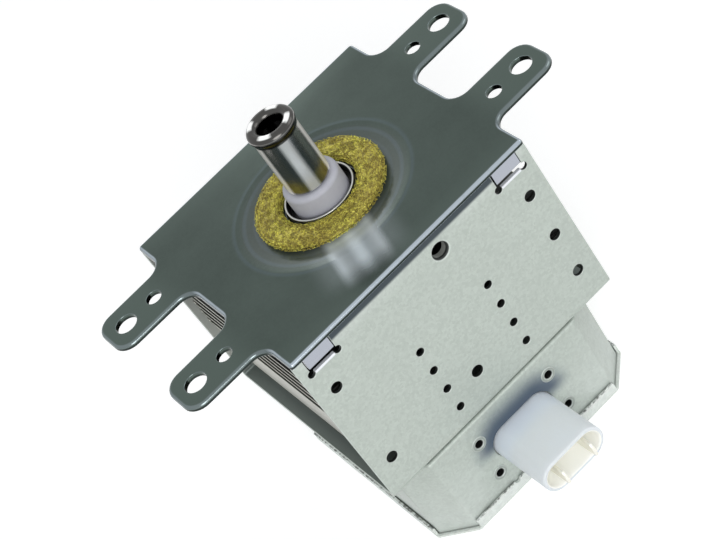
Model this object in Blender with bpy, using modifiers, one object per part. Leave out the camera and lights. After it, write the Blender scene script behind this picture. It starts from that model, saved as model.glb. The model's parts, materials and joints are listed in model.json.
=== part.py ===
"""The magnetron of a microwave oven, modelled as the separate pieces it is assembled from.

Lengths are written in millimetres and become metres through MM. The origin is where the antenna's
axis meets the underside of the filter box lid, on which the magnetron stands. +Z runs up the axis to
the antenna, +X is the way the cooling air flows, and the connector points along -Y.
"""

import math

import bmesh
import bpy
from mathutils import Matrix, Vector

MM = 0.001
CLEARANCE = 0.3  # between two pieces that touch

# Mounting plate, with two ears at each end and two tabs under each long side
PLATE_LENGTH = 80.0
PLATE_WIDTH = 78.4
PLATE_THICKNESS = 1.6
PLATE_CORNER_RADIUS = 1.0
EAR_REACH = 23.8
EAR_WIDTH = 16.0
EAR_TAPER = 0.15
EAR_PITCH = 36.8
EAR_TIP_RADIUS = 5.0
EAR_ROOT_RADIUS = 4.5
EAR_HOLE_RADIUS = 3.15
EAR_HOLE_FROM_TIP = 6.5
PILOT_HOLE_RADIUS = 2.25
PILOT_HOLE_FROM_TIP = 16.3
RECESS_RADIUS = 25.0
RECESS_FLOOR_RADIUS = 20.4
RECESS_DEPTH = 0.4
TAB_WIDTH = 8.2
TAB_FROM_END = 7.6
TAB_DROP = 4.8
TAB_THICKNESS = 1.5
TAB_INSET = 0.2
TAB_ROOT = 2.0
TAB_ROOT_RADIUS = 1.2

# Yoke, the U-shaped frame under the plate
YOKE_THICKNESS = 1.2
YOKE_INSET = 0.6
YOKE_BEND_RADIUS = 1.8
YOKE_BORE_RADIUS = 11.6
NOTCH_BELOW_TAB = 2.4
NOTCH_RELIEF_RADIUS = 1.1
CORNER_HOLE_RADIUS = 1.65
CORNER_HOLE_FROM_END = 6.0
CORNER_HOLE_DROPS = (15.8, 45.5)
MIDDLE_HOLE_DROP = 31.0
VENT_HOLE_RADIUS = 1.2
VENT_HOLE_X = 12.1
VENT_FIRST_DROP = 27.0
VENT_HOLE_PITCH = 7.7
VENT_HOLES = 4
LOCATING_HOLE_RADIUS = 1.75
LOCATING_HOLE_X = -3.1
FLANGED_HOLE_RADIUS = 2.2
FLANGED_HOLE_X = 7.1
FLANGED_HOLE_DROP = 7.9
FLANGED_HOLE_RIM = 0.8
FLANGED_HOLE_REACH = 1.8

# Filter box under the yoke, and its lid
BOX_SHIFT = -1.3
BOX_LENGTH = 70.0
BOX_HEIGHT = 28.6
BOX_INSET = 0.8
BOX_THICKNESS = 0.8
BOX_CORNER_CUT = 8.2
BOX_EDGE_RADIUS = 0.9
BOX_DRAFT = 0.8  # how much each end leans in over the box's height
BOX_BORE_RADIUS = 11.6
LID_THICKNESS = 0.8
LID_RIM_HEIGHT = 3.9
LID_EDGE_RADIUS = 0.9
LID_CORNER_GAP = 1.2
LID_NOTCH_RADIUS = 0.9
LID_NOTCH_X = 10.6

# Ring magnets
MAGNET_RADIUS = 27.0
MAGNET_BORE_RADIUS = 12.0
MAGNET_THICKNESS = 11.0
MAGNET_CHAMFER = 0.8

# Anode: cylinder, vanes and straps
ANODE_RADIUS = 19.0
ANODE_WALL = 2.0
ANODE_HEIGHT = 24.2
VANES = 10
VANE_TIP_RADIUS = 4.7
VANE_HEIGHT = 9.5
VANE_THICKNESS = 1.9
STRAP_INNER_RADIUS = 6.3
STRAP_WIDTH = 1.0
STRAP_SPACING = 1.0
STRAP_HEIGHT = 1.3
STRAP_FREE_DEPTH = 0.8

# Pole pieces and the metal seals on them
POLE_RADIUS = 18.7
POLE_THICKNESS = 2.0
POLE_DISH_RADIUS = 12.5
POLE_TIP_RADIUS = 8.6
POLE_BORE_RADIUS = 4.8
POLE_DEPTH = 5.7
POLE_LEAD_HOLE_RADIUS = 2.3
POLE_LEAD_HOLE_X = 9.6
SEAL_RADIUS = 10.0
SEAL_FLANGE_RADIUS = 16.0
SEAL_THICKNESS = 0.6
SEAL_FLANGE_THICKNESS = 0.8
SEAL_LIP = 1.8
SEAL_LEDGE_DROP = 1.1
SEAL_LEDGE_BORE_RADIUS = 6.0
LOWER_SEAL_LENGTH = 17.8

# Cathode: filament between two end shields, on two leads
FILAMENT_RADIUS = 1.9
FILAMENT_WIRE_RADIUS = 0.3
FILAMENT_TURNS = 7
SHIELD_RADIUS = 3.3
SHIELD_THICKNESS = 1.2
LEAD_RADIUS = 0.65
LEAD_SPREAD = 3.5
SIDE_LEAD_RADIUS = 2.3
LEAD_TAIL = 6.0
STEM_RADIUS = 10.0
STEM_HEIGHT = 5.0

# Antenna: ceramic, exhaust tube, lead and cap, and the gasket round them
CERAMIC_RADIUS = 8.0
CERAMIC_BORE_RADIUS = 5.0
CERAMIC_HEIGHT = 8.0
CERAMIC_CHAMFER = 0.4
EXHAUST_RADIUS = 2.6
EXHAUST_WALL = 0.7
EXHAUST_FLANGE_RADIUS = 5.4
EXHAUST_HEIGHT = 9.6
CAP_RADIUS = 6.3
CAP_RIM_RADIUS = 6.85
CAP_WELL_RADIUS = 3.5
CAP_WELL_DEPTH = 9.9
CAP_WALL = 0.5
CAP_HEIGHT = 20.8
ANTENNA_LEAD_RADIUS = 1.0
ANTENNA_LEAD_FOOT_X = 11.4
GASKET_RADIUS = 18.8
GASKET_BORE_RADIUS = 10.8
GASKET_THICKNESS = 2.6

# Cooling fins on the anode cylinder
FINS = 6
FIN_PITCH = 3.85
FIN_THICKNESS = 0.5
FIN_SETBACK = 2.0
FIN_SIDE_BEND = 1.4
FIN_BEND_RADIUS = 0.8
FIN_COLLAR_HEIGHT = 1.7
FIN_FIRST_RISE = 3.5
FIN_GUIDE_DROP = 13.2
FIN_GUIDE_INSET = 1.2

# Filter: feed-through capacitor in the box wall, and the chokes behind it
CONNECTOR_LIFT = 0.6  # how far the connector sits above the middle of the box
CONNECTOR_LENGTH = 20.6
CONNECTOR_HEIGHT = 9.8
CONNECTOR_REACH = 21.6
CONNECTOR_WALL = 1.3
CONNECTOR_FLOOR = 8.0
GROUND_PLATE_LENGTH = 33.0
GROUND_PLATE_MARGIN = 4.8
GROUND_PLATE_THICKNESS = 1.0
GROUND_PLATE_CORNER = 2.0
CAPACITOR_LENGTH = 19.0
CAPACITOR_HEIGHT = 8.4
CAPACITOR_DEPTH = 7.0
TERMINAL_PITCH = 10.0
TERMINAL_BLADE_WIDTH = 5.0
TERMINAL_BLADE_THICKNESS = 0.8
TERMINAL_BLADE_REACH = 3.0
TERMINAL_ROD_RADIUS = 1.1
TERMINAL_TAIL = 1.2
EYELET_PITCH_X = 25.8
EYELET_FROM_EDGE = 3.0
EYELET_HEAD_RADIUS = 2.3
EYELET_SHANK_RADIUS = 1.7
EYELET_BORE_RADIUS = 1.15
EYELET_HEAD_THICKNESS = 0.5
CHOKE_RADIUS = 3.3
CHOKE_WIRE_RADIUS = 0.6
CHOKE_TURNS = 7
CHOKE_TURN_PITCH = 1.75
CORE_RADIUS = 2.3
CORE_INSET = 0.6

# Heights of the stack, from the lid up to the plate
BOX_BOTTOM = LID_THICKNESS + CLEARANCE
BOX_TOP = BOX_BOTTOM + BOX_HEIGHT
CONNECTOR_RISE = BOX_BOTTOM + BOX_HEIGHT / 2 + CONNECTOR_LIFT
GROUND_PLATE_HEIGHT = BOX_HEIGHT - 2 * GROUND_PLATE_MARGIN
EYELET_PITCH_Z = GROUND_PLATE_HEIGHT - 2 * EYELET_FROM_EDGE
YOKE_BOTTOM = BOX_TOP + CLEARANCE
WEB_TOP = YOKE_BOTTOM + YOKE_THICKNESS
LOWER_MAGNET_BOTTOM = WEB_TOP + CLEARANCE
LOWER_SEAL_FLANGE = LOWER_MAGNET_BOTTOM + MAGNET_THICKNESS + CLEARANCE
LOWER_POLE_BOTTOM = LOWER_SEAL_FLANGE + SEAL_FLANGE_THICKNESS + CLEARANCE
ANODE_BOTTOM = LOWER_POLE_BOTTOM + POLE_THICKNESS + CLEARANCE
ANODE_TOP = ANODE_BOTTOM + ANODE_HEIGHT
UPPER_POLE_TOP = ANODE_TOP + CLEARANCE + POLE_THICKNESS
UPPER_SEAL_FLANGE = UPPER_POLE_TOP + CLEARANCE + SEAL_FLANGE_THICKNESS
UPPER_MAGNET_BOTTOM = UPPER_SEAL_FLANGE + CLEARANCE
YOKE_TOP = UPPER_MAGNET_BOTTOM + MAGNET_THICKNESS
PLATE_BOTTOM = YOKE_TOP + CLEARANCE
PLATE_TOP = PLATE_BOTTOM + PLATE_THICKNESS
ANODE_MIDDLE = (ANODE_BOTTOM + ANODE_TOP) / 2
VANE_TOP = ANODE_MIDDLE + VANE_HEIGHT / 2
VANE_BOTTOM = ANODE_MIDDLE - VANE_HEIGHT / 2
CERAMIC_BOTTOM = PLATE_TOP - SEAL_LEDGE_DROP + CLEARANCE
CERAMIC_TOP = CERAMIC_BOTTOM + CERAMIC_HEIGHT
CAP_BOTTOM = CERAMIC_TOP + CLEARANCE
LOWER_SEAL_END = LOWER_SEAL_FLANGE + SEAL_FLANGE_THICKNESS - LOWER_SEAL_LENGTH
STEM_TOP = LOWER_SEAL_END - CLEARANCE
STEM_BOTTOM = STEM_TOP - STEM_HEIGHT
LEAD_END = STEM_BOTTOM - LEAD_TAIL

# Depths of the filter, from the front of the box inwards
YOKE_HALF_WIDTH = PLATE_WIDTH / 2 - YOKE_INSET
YOKE_INSIDE = YOKE_HALF_WIDTH - YOKE_THICKNESS
BOX_FRONT = -(PLATE_WIDTH / 2 - BOX_INSET)
BOX_FRONT_INSIDE = BOX_FRONT + BOX_THICKNESS
GROUND_PLATE_FRONT = BOX_FRONT_INSIDE + CLEARANCE
CAPACITOR_FRONT = GROUND_PLATE_FRONT + GROUND_PLATE_THICKNESS + CLEARANCE
CAPACITOR_BACK = CAPACITOR_FRONT + CAPACITOR_DEPTH
TERMINAL_BACK = CAPACITOR_BACK + TERMINAL_TAIL
HOUSING_BACK = GROUND_PLATE_FRONT - CLEARANCE
HOUSING_FRONT = BOX_FRONT - CONNECTOR_REACH
CONNECTOR_FLOOR_FRONT = HOUSING_BACK - CONNECTOR_FLOOR
CHOKE_FRONT = TERMINAL_BACK + 2.6
TAB_X = PLATE_LENGTH / 2 - TAB_FROM_END
NOTCH_FLOOR = PLATE_TOP - TAB_DROP - NOTCH_BELOW_TAB
CORNER_HOLE_X = PLATE_LENGTH / 2 - CORNER_HOLE_FROM_END
FIN_LENGTH = PLATE_LENGTH - 2 * FIN_SETBACK
TERMINAL_XS = (BOX_SHIFT - TERMINAL_PITCH / 2, BOX_SHIFT + TERMINAL_PITCH / 2)

# Facets of the round shapes
FINE_STEPS = 32
ROUND_STEPS = 24
SMALL_STEPS = 16
HOLE_STEPS = 10
VENT_STEPS = 8
ARC_STEPS = 4

MATERIALS = {
    "plated_steel": ((0.30, 0.32, 0.31, 1), 1.0, 0.42),
    "galvanised_steel": ((0.62, 0.64, 0.61, 1), 1.0, 0.5),
    "stainless": ((0.62, 0.61, 0.58, 1), 1.0, 0.22),
    "brass_mesh": ((0.56, 0.42, 0.12, 1), 1.0, 0.5),
    "white_ceramic": ((0.68, 0.66, 0.70, 1), 0.0, 0.45),
    "ferrite": ((0.05, 0.05, 0.055, 1), 0.0, 0.7),
    "copper": ((0.72, 0.34, 0.20, 1), 1.0, 0.3),
    "aluminium": ((0.75, 0.75, 0.74, 1), 1.0, 0.4),
    "tungsten": ((0.25, 0.25, 0.26, 1), 1.0, 0.35),
    "molybdenum": ((0.40, 0.40, 0.42, 1), 1.0, 0.35),
    "white_plastic": ((0.82, 0.83, 0.85, 1), 0.0, 0.4),
    "brown_resin": ((0.22, 0.10, 0.05, 1), 0.0, 0.5),
    "tinned_brass": ((0.74, 0.70, 0.58, 1), 1.0, 0.3),
}


def clear_scene():
    for thing in list(bpy.data.objects):
        bpy.data.objects.remove(thing, do_unlink=True)


def new_collection(name):
    collection = bpy.data.collections.new(name)
    bpy.context.scene.collection.children.link(collection)
    return collection


def material(name):
    """The named Principled material, made on its first use."""
    found = bpy.data.materials.get(name)
    if found:
        return found
    colour, metallic, roughness = MATERIALS[name]
    made = bpy.data.materials.new(name)
    made.use_nodes = True
    shader = made.node_tree.nodes["Principled BSDF"]
    shader.inputs["Base Color"].default_value = colour
    shader.inputs["Metallic"].default_value = metallic
    shader.inputs["Roughness"].default_value = roughness
    made.diffuse_color = colour
    return made


def add_piece(name, data, look):
    piece = bpy.data.objects.new(name, data)
    data.materials.append(material(look))
    PIECES.objects.link(piece)
    return piece


def add_tool(name, mesh):
    """A shape that only cuts or joins other pieces."""
    tool = bpy.data.objects.new(name, mesh)
    tool.hide_render = True
    tool.display_type = "WIRE"
    TOOLS.objects.link(tool)
    return tool


def combine(piece, tool, operation):
    modifier = piece.modifiers.new(tool.name, "BOOLEAN")
    modifier.operation = operation
    modifier.object = tool
    modifier.solver = "EXACT"


def cut(piece, tool):
    combine(piece, tool, "DIFFERENCE")


def join(piece, tool):
    combine(piece, tool, "UNION")


def smooth(mesh):
    mesh.shade_smooth()
    mesh.set_sharp_from_angle(angle=math.radians(35))


def mesh_from(name, build):
    """A mesh that the given function builds in a bmesh, in millimetres."""
    work = bmesh.new()
    build(work)
    bmesh.ops.recalc_face_normals(work, faces=work.faces)
    work.transform(Matrix.Scale(MM, 4))
    mesh = bpy.data.meshes.new(name)
    work.to_mesh(mesh)
    work.free()
    smooth(mesh)
    return mesh


def rounded_outline(corners, steps=ARC_STEPS):
    """Points of a closed outline. A corner is (x, y), or (x, y, radius) where it is rounded."""
    points = []
    for index, corner in enumerate(corners):
        here = Vector(corner[:2])
        if len(corner) == 2:
            points.append(tuple(here))
            continue
        before = (Vector(corners[index - 1][:2]) - here).normalized()
        after = (Vector(corners[(index + 1) % len(corners)][:2]) - here).normalized()
        half = before.angle(after) / 2
        centre = here + (before + after).normalized() * corner[2] / math.sin(half)
        start = here + before * corner[2] / math.tan(half) - centre
        end = here + after * corner[2] / math.tan(half) - centre
        turn = math.atan2(start.x * end.y - start.y * end.x, start.dot(end))
        for step in range(steps + 1):
            angle = math.atan2(start.y, start.x) + turn * step / steps
            points.append(tuple(centre + Vector((math.cos(angle), math.sin(angle))) * corner[2]))
    return points


def rectangle(length, width, radius=0.0, steps=ARC_STEPS, centre=(0.0, 0.0)):
    x, y = centre
    signs = ((1, 1), (-1, 1), (-1, -1), (1, -1))
    corners = [(x + sx * length / 2, y + sy * width / 2, radius) for sx, sy in signs]
    if radius == 0:
        return [corner[:2] for corner in corners]
    return rounded_outline(corners, steps)


def obround(length, height, steps=6, centre=(0.0, 0.0)):
    """A slot shape whose ends are half circles."""
    return rectangle(length, height, height / 2 - 1e-4, steps, centre)


def circle(radius, steps=SMALL_STEPS, centre=(0.0, 0.0)):
    turns = [math.tau * step / steps for step in range(steps)]
    return [(centre[0] + radius * math.cos(t), centre[1] + radius * math.sin(t)) for t in turns]


def sheet_mesh(name, outlines, thickness, frame=None):
    """A flat shape of one thickness, rising from its own XY plane. Outlines after the first are holes."""
    curve = bpy.data.curves.new(name, "CURVE")
    curve.dimensions = "2D"
    curve.fill_mode = "BOTH"
    curve.extrude = thickness * MM / 2
    for outline in outlines:
        spline = curve.splines.new("POLY")
        spline.points.add(len(outline) - 1)
        spline.use_cyclic_u = True
        for point, (x, y) in zip(spline.points, outline):
            point.co = (x * MM, y * MM, 0, 1)
    holder = bpy.data.objects.new(name, curve)
    bpy.context.scene.collection.objects.link(holder)
    view = bpy.context.evaluated_depsgraph_get()
    mesh = bpy.data.meshes.new_from_object(holder.evaluated_get(view))
    bpy.data.objects.remove(holder, do_unlink=True)
    work = bmesh.new()
    work.from_mesh(mesh)
    bmesh.ops.remove_doubles(work, verts=work.verts, dist=0.001 * MM)
    bmesh.ops.dissolve_limit(
        work, angle_limit=math.radians(0.1), verts=work.verts, edges=work.edges
    )
    place = Matrix.Translation((0, 0, thickness / 2))
    if frame is not None:
        place = frame @ place
    place.translation *= MM
    work.transform(place)
    bmesh.ops.recalc_face_normals(work, faces=work.faces)
    work.to_mesh(mesh)
    work.free()
    smooth(mesh)
    return mesh


def at_height(height):
    return Matrix.Translation((0, 0, height))


def across_x(start):
    """A frame whose plane is YZ, so that a sheet rises along +X from the given X."""
    turn = Matrix(((0, 0, 1), (1, 0, 0), (0, 1, 0))).to_4x4()
    return Matrix.Translation((start, 0, 0)) @ turn


def across_y(start):
    """A frame whose plane is XZ, so that a sheet rises along -Y from the given Y."""
    turn = Matrix(((1, 0, 0), (0, 0, -1), (0, 1, 0))).to_4x4()
    return Matrix.Translation((0, start, 0)) @ turn


def turned(name, profile, look, steps=ROUND_STEPS, closed=True):
    """A turned piece. Its profile of (radius, height) points runs down the outer side."""
    mesh = bpy.data.meshes.new(name)
    points = [(radius * MM, 0, height * MM) for radius, height in profile]
    edges = [(i, i + 1) for i in range(len(points) - 1)]
    if closed:
        edges.append((len(points) - 1, 0))
    mesh.from_pydata(points, edges, [])
    piece = add_piece(name, mesh, look)
    screw = piece.modifiers.new("turn", "SCREW")
    screw.axis = "Z"
    screw.steps = steps
    screw.render_steps = steps
    screw.use_merge_vertices = True
    screw.merge_threshold = 0.001 * MM
    screw.use_smooth_shade = True
    return piece


def ring_profile(inner, outer, low, high, chamfer=0.0):
    if chamfer == 0:
        return [(outer, high), (outer, low), (inner, low), (inner, high)]
    c = chamfer
    return [
        (outer - c, high), (outer, high - c), (outer, low + c), (outer - c, low),
        (inner + c, low), (inner, low + c), (inner, high - c), (inner + c, high),
    ]  # fmt: skip


def rods_mesh(name, rods, steps=HOLE_STEPS):
    """Round bars, each given by its centre, its axis, its radius and its length."""
    turns = {
        "X": Matrix.Rotation(math.pi / 2, 4, "Y"),
        "Y": Matrix.Rotation(math.pi / 2, 4, "X"),
        "Z": Matrix.Identity(4),
    }

    def build(work):
        for centre, axis, radius, length in rods:
            bmesh.ops.create_cone(
                work, cap_ends=True, segments=steps, radius1=radius, radius2=radius,
                depth=length, matrix=Matrix.Translation(centre) @ turns[axis],
            )  # fmt: skip

    return mesh_from(name, build)


def blocks_mesh(name, blocks):
    """Boxes, each given by its lowest and its highest corner."""

    def build(work):
        for low, high in blocks:
            size = Vector(high) - Vector(low)
            centre = (Vector(high) + Vector(low)) / 2
            bmesh.ops.create_cube(
                work, size=1, matrix=Matrix.Translation(centre) @ Matrix.Diagonal((*size, 1))
            )

    return mesh_from(name, build)


def wire(name, points, radius, look, resolution=1):
    curve = bpy.data.curves.new(name, "CURVE")
    curve.dimensions = "3D"
    curve.bevel_depth = radius * MM
    curve.bevel_resolution = resolution
    curve.use_fill_caps = True
    spline = curve.splines.new("POLY")
    spline.points.add(len(points) - 1)
    for place, point in zip(spline.points, points):
        place.co = (*(value * MM for value in point), 1)
    return add_piece(name, curve, look)


def helix(centre, axis, radius, length, turns, points_per_turn, start=0.0):
    """Points along a helix that starts at the centre and runs along the axis, Y or Z."""
    count = round(turns * points_per_turn)
    points = []
    for step in range(count + 1):
        angle = start + math.tau * turns * step / count
        along = length * step / count
        swing = (radius * math.cos(angle), radius * math.sin(angle))
        offset = (swing[0], along, swing[1]) if axis == "Y" else (swing[0], swing[1], along)
        points.append(tuple(c + o for c, o in zip(centre, offset)))
    return points


def smooth_path(points, steps=3):
    """A path through the given points, with a few more on a smooth curve between each pair."""
    knots = [Vector(point) for point in points]
    knots = [2 * knots[0] - knots[1], *knots, 2 * knots[-1] - knots[-2]]
    path = []
    for a, b, c, d in zip(knots, knots[1:], knots[2:], knots[3:]):
        for step in range(steps):
            t = step / steps
            path.append(
                0.5 * (2 * b + (c - a) * t + (2 * a - 5 * b + 4 * c - d) * t**2
                       + (3 * b - a - 3 * c + d) * t**3)
            )  # fmt: skip
    return [tuple(point) for point in [*path, knots[-2]]]


def mirrored_xs(offset):
    return (-offset, offset)


# Mounting plate


def plate_outline():
    """The plate seen from above, with ears at both ends."""
    half_length = PLATE_LENGTH / 2
    half_width = PLATE_WIDTH / 2
    tip = half_length + EAR_REACH
    ear_out = EAR_PITCH / 2 + EAR_WIDTH / 2
    ear_in = EAR_PITCH / 2 - EAR_WIDTH / 2
    end = [
        (half_length, half_width, PLATE_CORNER_RADIUS),
        (half_length, ear_out, EAR_ROOT_RADIUS),
        (tip, ear_out - EAR_TAPER, EAR_TIP_RADIUS),
        (tip, ear_in + EAR_TAPER, EAR_TIP_RADIUS),
        (half_length, ear_in, EAR_ROOT_RADIUS),
    ]
    right = end + [(x, -y, radius) for x, y, radius in reversed(end)]
    left = [(-x, y, radius) for x, y, radius in reversed(right)]
    return rounded_outline(right + left)


def make_mounting_plate():
    mesh = sheet_mesh(
        "mounting_plate", [plate_outline()], PLATE_THICKNESS, at_height(PLATE_BOTTOM)
    )
    plate = add_piece("mounting_plate", mesh, "plated_steel")
    add_tabs(plate)
    cut(plate, recess_tool())
    bore = ((0, 0, PLATE_TOP), "Z", SEAL_RADIUS + 2 * CLEARANCE, 4 * PLATE_THICKNESS)
    cut(plate, add_tool("plate_bore", rods_mesh("plate_bore", [bore], ROUND_STEPS)))
    cut(plate, add_tool("ear_holes", rods_mesh("ear_holes", ear_holes(), SMALL_STEPS)))


def ear_holes():
    """A bolt hole and a smaller locating hole in each ear."""
    tip = PLATE_LENGTH / 2 + EAR_REACH
    rods = []
    for side in (-1, 1):
        for y in mirrored_xs(EAR_PITCH / 2):
            for from_tip, radius in (
                (EAR_HOLE_FROM_TIP, EAR_HOLE_RADIUS),
                (PILOT_HOLE_FROM_TIP, PILOT_HOLE_RADIUS),
            ):
                place = (side * (tip - from_tip), y, PLATE_TOP)
                rods.append((place, "Z", radius, 4 * PLATE_THICKNESS))
    return rods


def tab_outline():
    """Section of a tab: it starts inside the plate and hangs down just behind the plate's edge."""
    face = PLATE_WIDTH / 2 - TAB_INSET
    back = face - TAB_THICKNESS
    root = back - TAB_ROOT
    top = PLATE_BOTTOM + PLATE_THICKNESS / 3
    bottom = PLATE_TOP - TAB_DROP
    return rounded_outline([
        (root, top), (root, PLATE_BOTTOM), (back, PLATE_BOTTOM, TAB_ROOT_RADIUS),
        (back, bottom), (face, bottom), (face, top),
    ])  # fmt: skip


def add_tabs(plate):
    for side in (-1, 1):
        outline = [(side * y, z) for y, z in tab_outline()]
        for number, centre in enumerate(mirrored_xs(TAB_X)):
            start = across_x(centre - TAB_WIDTH / 2)
            name = f"tab_{'near' if side < 0 else 'far'}_{number + 1}"
            join(plate, add_tool(name, sheet_mesh(name, [outline], TAB_WIDTH, start)))


def recess_tool():
    """The shallow dish round the gasket: a cone frustum whose wide end is above the plate."""
    slope = (RECESS_RADIUS - RECESS_FLOOR_RADIUS) / RECESS_DEPTH
    above = 0.2

    def build(work):
        bmesh.ops.create_cone(
            work, cap_ends=True, segments=FINE_STEPS, radius1=RECESS_FLOOR_RADIUS,
            radius2=RECESS_RADIUS + slope * above, depth=RECESS_DEPTH + above,
            matrix=Matrix.Translation((0, 0, PLATE_TOP + (above - RECESS_DEPTH) / 2)),
        )  # fmt: skip

    return add_tool("plate_recess", mesh_from("plate_recess", build))


# Yoke


def make_yoke():
    outer = YOKE_HALF_WIDTH
    inner = YOKE_INSIDE
    bend = YOKE_BEND_RADIUS
    outline = rounded_outline([
        (-outer, YOKE_TOP), (-outer, YOKE_BOTTOM, bend), (outer, YOKE_BOTTOM, bend), (outer, YOKE_TOP),
        (inner, YOKE_TOP), (inner, WEB_TOP, bend - YOKE_THICKNESS),
        (-inner, WEB_TOP, bend - YOKE_THICKNESS), (-inner, YOKE_TOP),
    ])  # fmt: skip
    mesh = sheet_mesh("yoke", [outline], PLATE_LENGTH, across_x(-PLATE_LENGTH / 2))
    yoke = add_piece("yoke", mesh, "galvanised_steel")
    join(yoke, flanged_hole_rim())
    cut(yoke, add_tool("yoke_notches", blocks_mesh("yoke_notches", notch_blocks())))
    bore = ((0, 0, YOKE_BOTTOM), "Z", YOKE_BORE_RADIUS, 3 * YOKE_THICKNESS)
    cut(yoke, add_tool("yoke_bore", rods_mesh("yoke_bore", [bore], ROUND_STEPS)))
    cut(yoke, add_tool("yoke_holes", rods_mesh("yoke_holes", yoke_holes())))
    cut(yoke, add_tool("yoke_vents", rods_mesh("yoke_vents", vent_holes(), VENT_STEPS)))


def notch_blocks():
    """The openings in the top of each wall that the plate's tabs hang in."""
    blocks = []
    for side in (-1, 1):
        for centre in mirrored_xs(TAB_X):
            half = TAB_WIDTH / 2 + CLEARANCE
            inner = YOKE_INSIDE - YOKE_THICKNESS
            ys = sorted((side * inner, side * (YOKE_HALF_WIDTH + YOKE_THICKNESS)))
            low = (centre - half, ys[0], NOTCH_FLOOR)
            high = (centre + half, ys[1], YOKE_TOP + 1)
            blocks.append((low, high))
    return blocks


def yoke_holes():
    """Round holes near the corners, punched through both walls in one stroke, and two in the near wall."""
    through = 2 * YOKE_HALF_WIDTH + YOKE_THICKNESS
    middle = (YOKE_HALF_WIDTH + YOKE_INSIDE) / 2
    rods = []
    for x in mirrored_xs(CORNER_HOLE_X):
        for drop in CORNER_HOLE_DROPS:
            rods.append(((x, 0, PLATE_TOP - drop), "Y", CORNER_HOLE_RADIUS, through))
    rods.append(((CORNER_HOLE_X, 0, PLATE_TOP - MIDDLE_HOLE_DROP), "Y", CORNER_HOLE_RADIUS, through))
    locating_z = PLATE_TOP - CORNER_HOLE_DROPS[1]
    wall = 3 * YOKE_THICKNESS
    rods.append(((LOCATING_HOLE_X, -middle, locating_z), "Y", LOCATING_HOLE_RADIUS, wall))
    flanged_z = PLATE_TOP - FLANGED_HOLE_DROP
    collar = 3 * (YOKE_THICKNESS + FLANGED_HOLE_REACH)
    rods.append(((FLANGED_HOLE_X, -middle, flanged_z), "Y", FLANGED_HOLE_RADIUS, collar))
    return rods


def vent_holes():
    """Two rows of small vents through both walls, and the relief holes in the corners of the notches."""
    through = 2 * YOKE_HALF_WIDTH + YOKE_THICKNESS
    rods = []
    for x in mirrored_xs(VENT_HOLE_X):
        for number in range(VENT_HOLES):
            height = PLATE_TOP - VENT_FIRST_DROP - number * VENT_HOLE_PITCH
            rods.append(((x, 0, height), "Y", VENT_HOLE_RADIUS, through))
    for centre in mirrored_xs(TAB_X):
        for side in (-1, 1):
            x = centre + side * (TAB_WIDTH / 2 + CLEARANCE)
            rods.append(((x, 0, NOTCH_FLOOR), "Y", NOTCH_RELIEF_RADIUS, through))
    return rods


def flanged_hole_rim():
    """The collar that punching drew inwards round one hole of the near wall."""
    start = -YOKE_INSIDE - YOKE_THICKNESS / 2
    height = PLATE_TOP - FLANGED_HOLE_DROP
    length = FLANGED_HOLE_REACH + YOKE_THICKNESS / 2
    centre = (FLANGED_HOLE_X, start + length / 2, height)
    radius = FLANGED_HOLE_RADIUS + FLANGED_HOLE_RIM
    rod = (centre, "Y", radius, length)
    return add_tool("flanged_hole_rim", rods_mesh("flanged_hole_rim", [rod], SMALL_STEPS))


# Filter box and lid


def can_mesh(name, length, width, low, high, corner, edge, draft, open_side):
    """The outer skin of a can, open at its top or its bottom, with cut corners and a rounded edge."""

    def build(work):
        size = Matrix.Diagonal((length, width, high - low, 1))
        bmesh.ops.create_cube(work, size=1, matrix=at_height((low + high) / 2) @ size)
        upright = [e for e in work.edges if abs(e.verts[0].co.z - e.verts[1].co.z) > 0.1]
        bmesh.ops.bevel(work, geom=upright, offset=corner, segments=1, affect="EDGES")
        shut = high if open_side == "bottom" else low
        rim = [e for e in work.edges if all(abs(v.co.z - shut) < 1e-4 for v in e.verts)]
        bmesh.ops.bevel(work, geom=rim, offset=edge, segments=2, affect="EDGES", profile=0.5)
        mouth = low if open_side == "bottom" else high
        face = [f for f in work.faces if all(abs(v.co.z - mouth) < 1e-4 for v in f.verts)]
        bmesh.ops.delete(work, geom=face, context="FACES_ONLY")
        for vertex in work.verts:
            lean = draft * (high - vertex.co.z) / (high - low)
            vertex.co.x *= 1 - 2 * lean / length
            vertex.co.x += BOX_SHIFT

    return mesh_from(name, build)


def add_wall(piece, thickness):
    """Gives a skin its thickness, inwards from the surface."""
    solidify = piece.modifiers.new("wall", "SOLIDIFY")
    solidify.thickness = thickness * MM
    solidify.offset = -1
    solidify.use_even_offset = True


def make_filter_box():
    mesh = can_mesh(
        "filter_box", BOX_LENGTH, -2 * BOX_FRONT, BOX_BOTTOM, BOX_TOP, BOX_CORNER_CUT,
        BOX_EDGE_RADIUS, BOX_DRAFT, "bottom",
    )  # fmt: skip
    box = add_piece("filter_box", mesh, "galvanised_steel")
    add_wall(box, BOX_THICKNESS)
    bore = ((0, 0, BOX_TOP), "Z", BOX_BORE_RADIUS, 4 * BOX_THICKNESS)
    cut(box, add_tool("box_bore", rods_mesh("box_bore", [bore], ROUND_STEPS)))
    cut(box, add_tool("box_rivet_holes", rods_mesh("box_rivet_holes", eyelet_holes())))
    opening = obround(
        CONNECTOR_LENGTH + 2 * CLEARANCE, CONNECTOR_HEIGHT + 2 * CLEARANCE, 6,
        (BOX_SHIFT, CONNECTOR_RISE),
    )  # fmt: skip
    depth = 4 * BOX_THICKNESS
    tool = sheet_mesh("box_opening", [opening], depth, across_y(BOX_FRONT + depth / 2))
    cut(box, add_tool("box_opening", tool))


def eyelet_centres():
    return [
        (BOX_SHIFT + x * EYELET_PITCH_X / 2, CONNECTOR_RISE + z * EYELET_PITCH_Z / 2)
        for x in (-1, 1)
        for z in (-1, 1)
    ]


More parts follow.
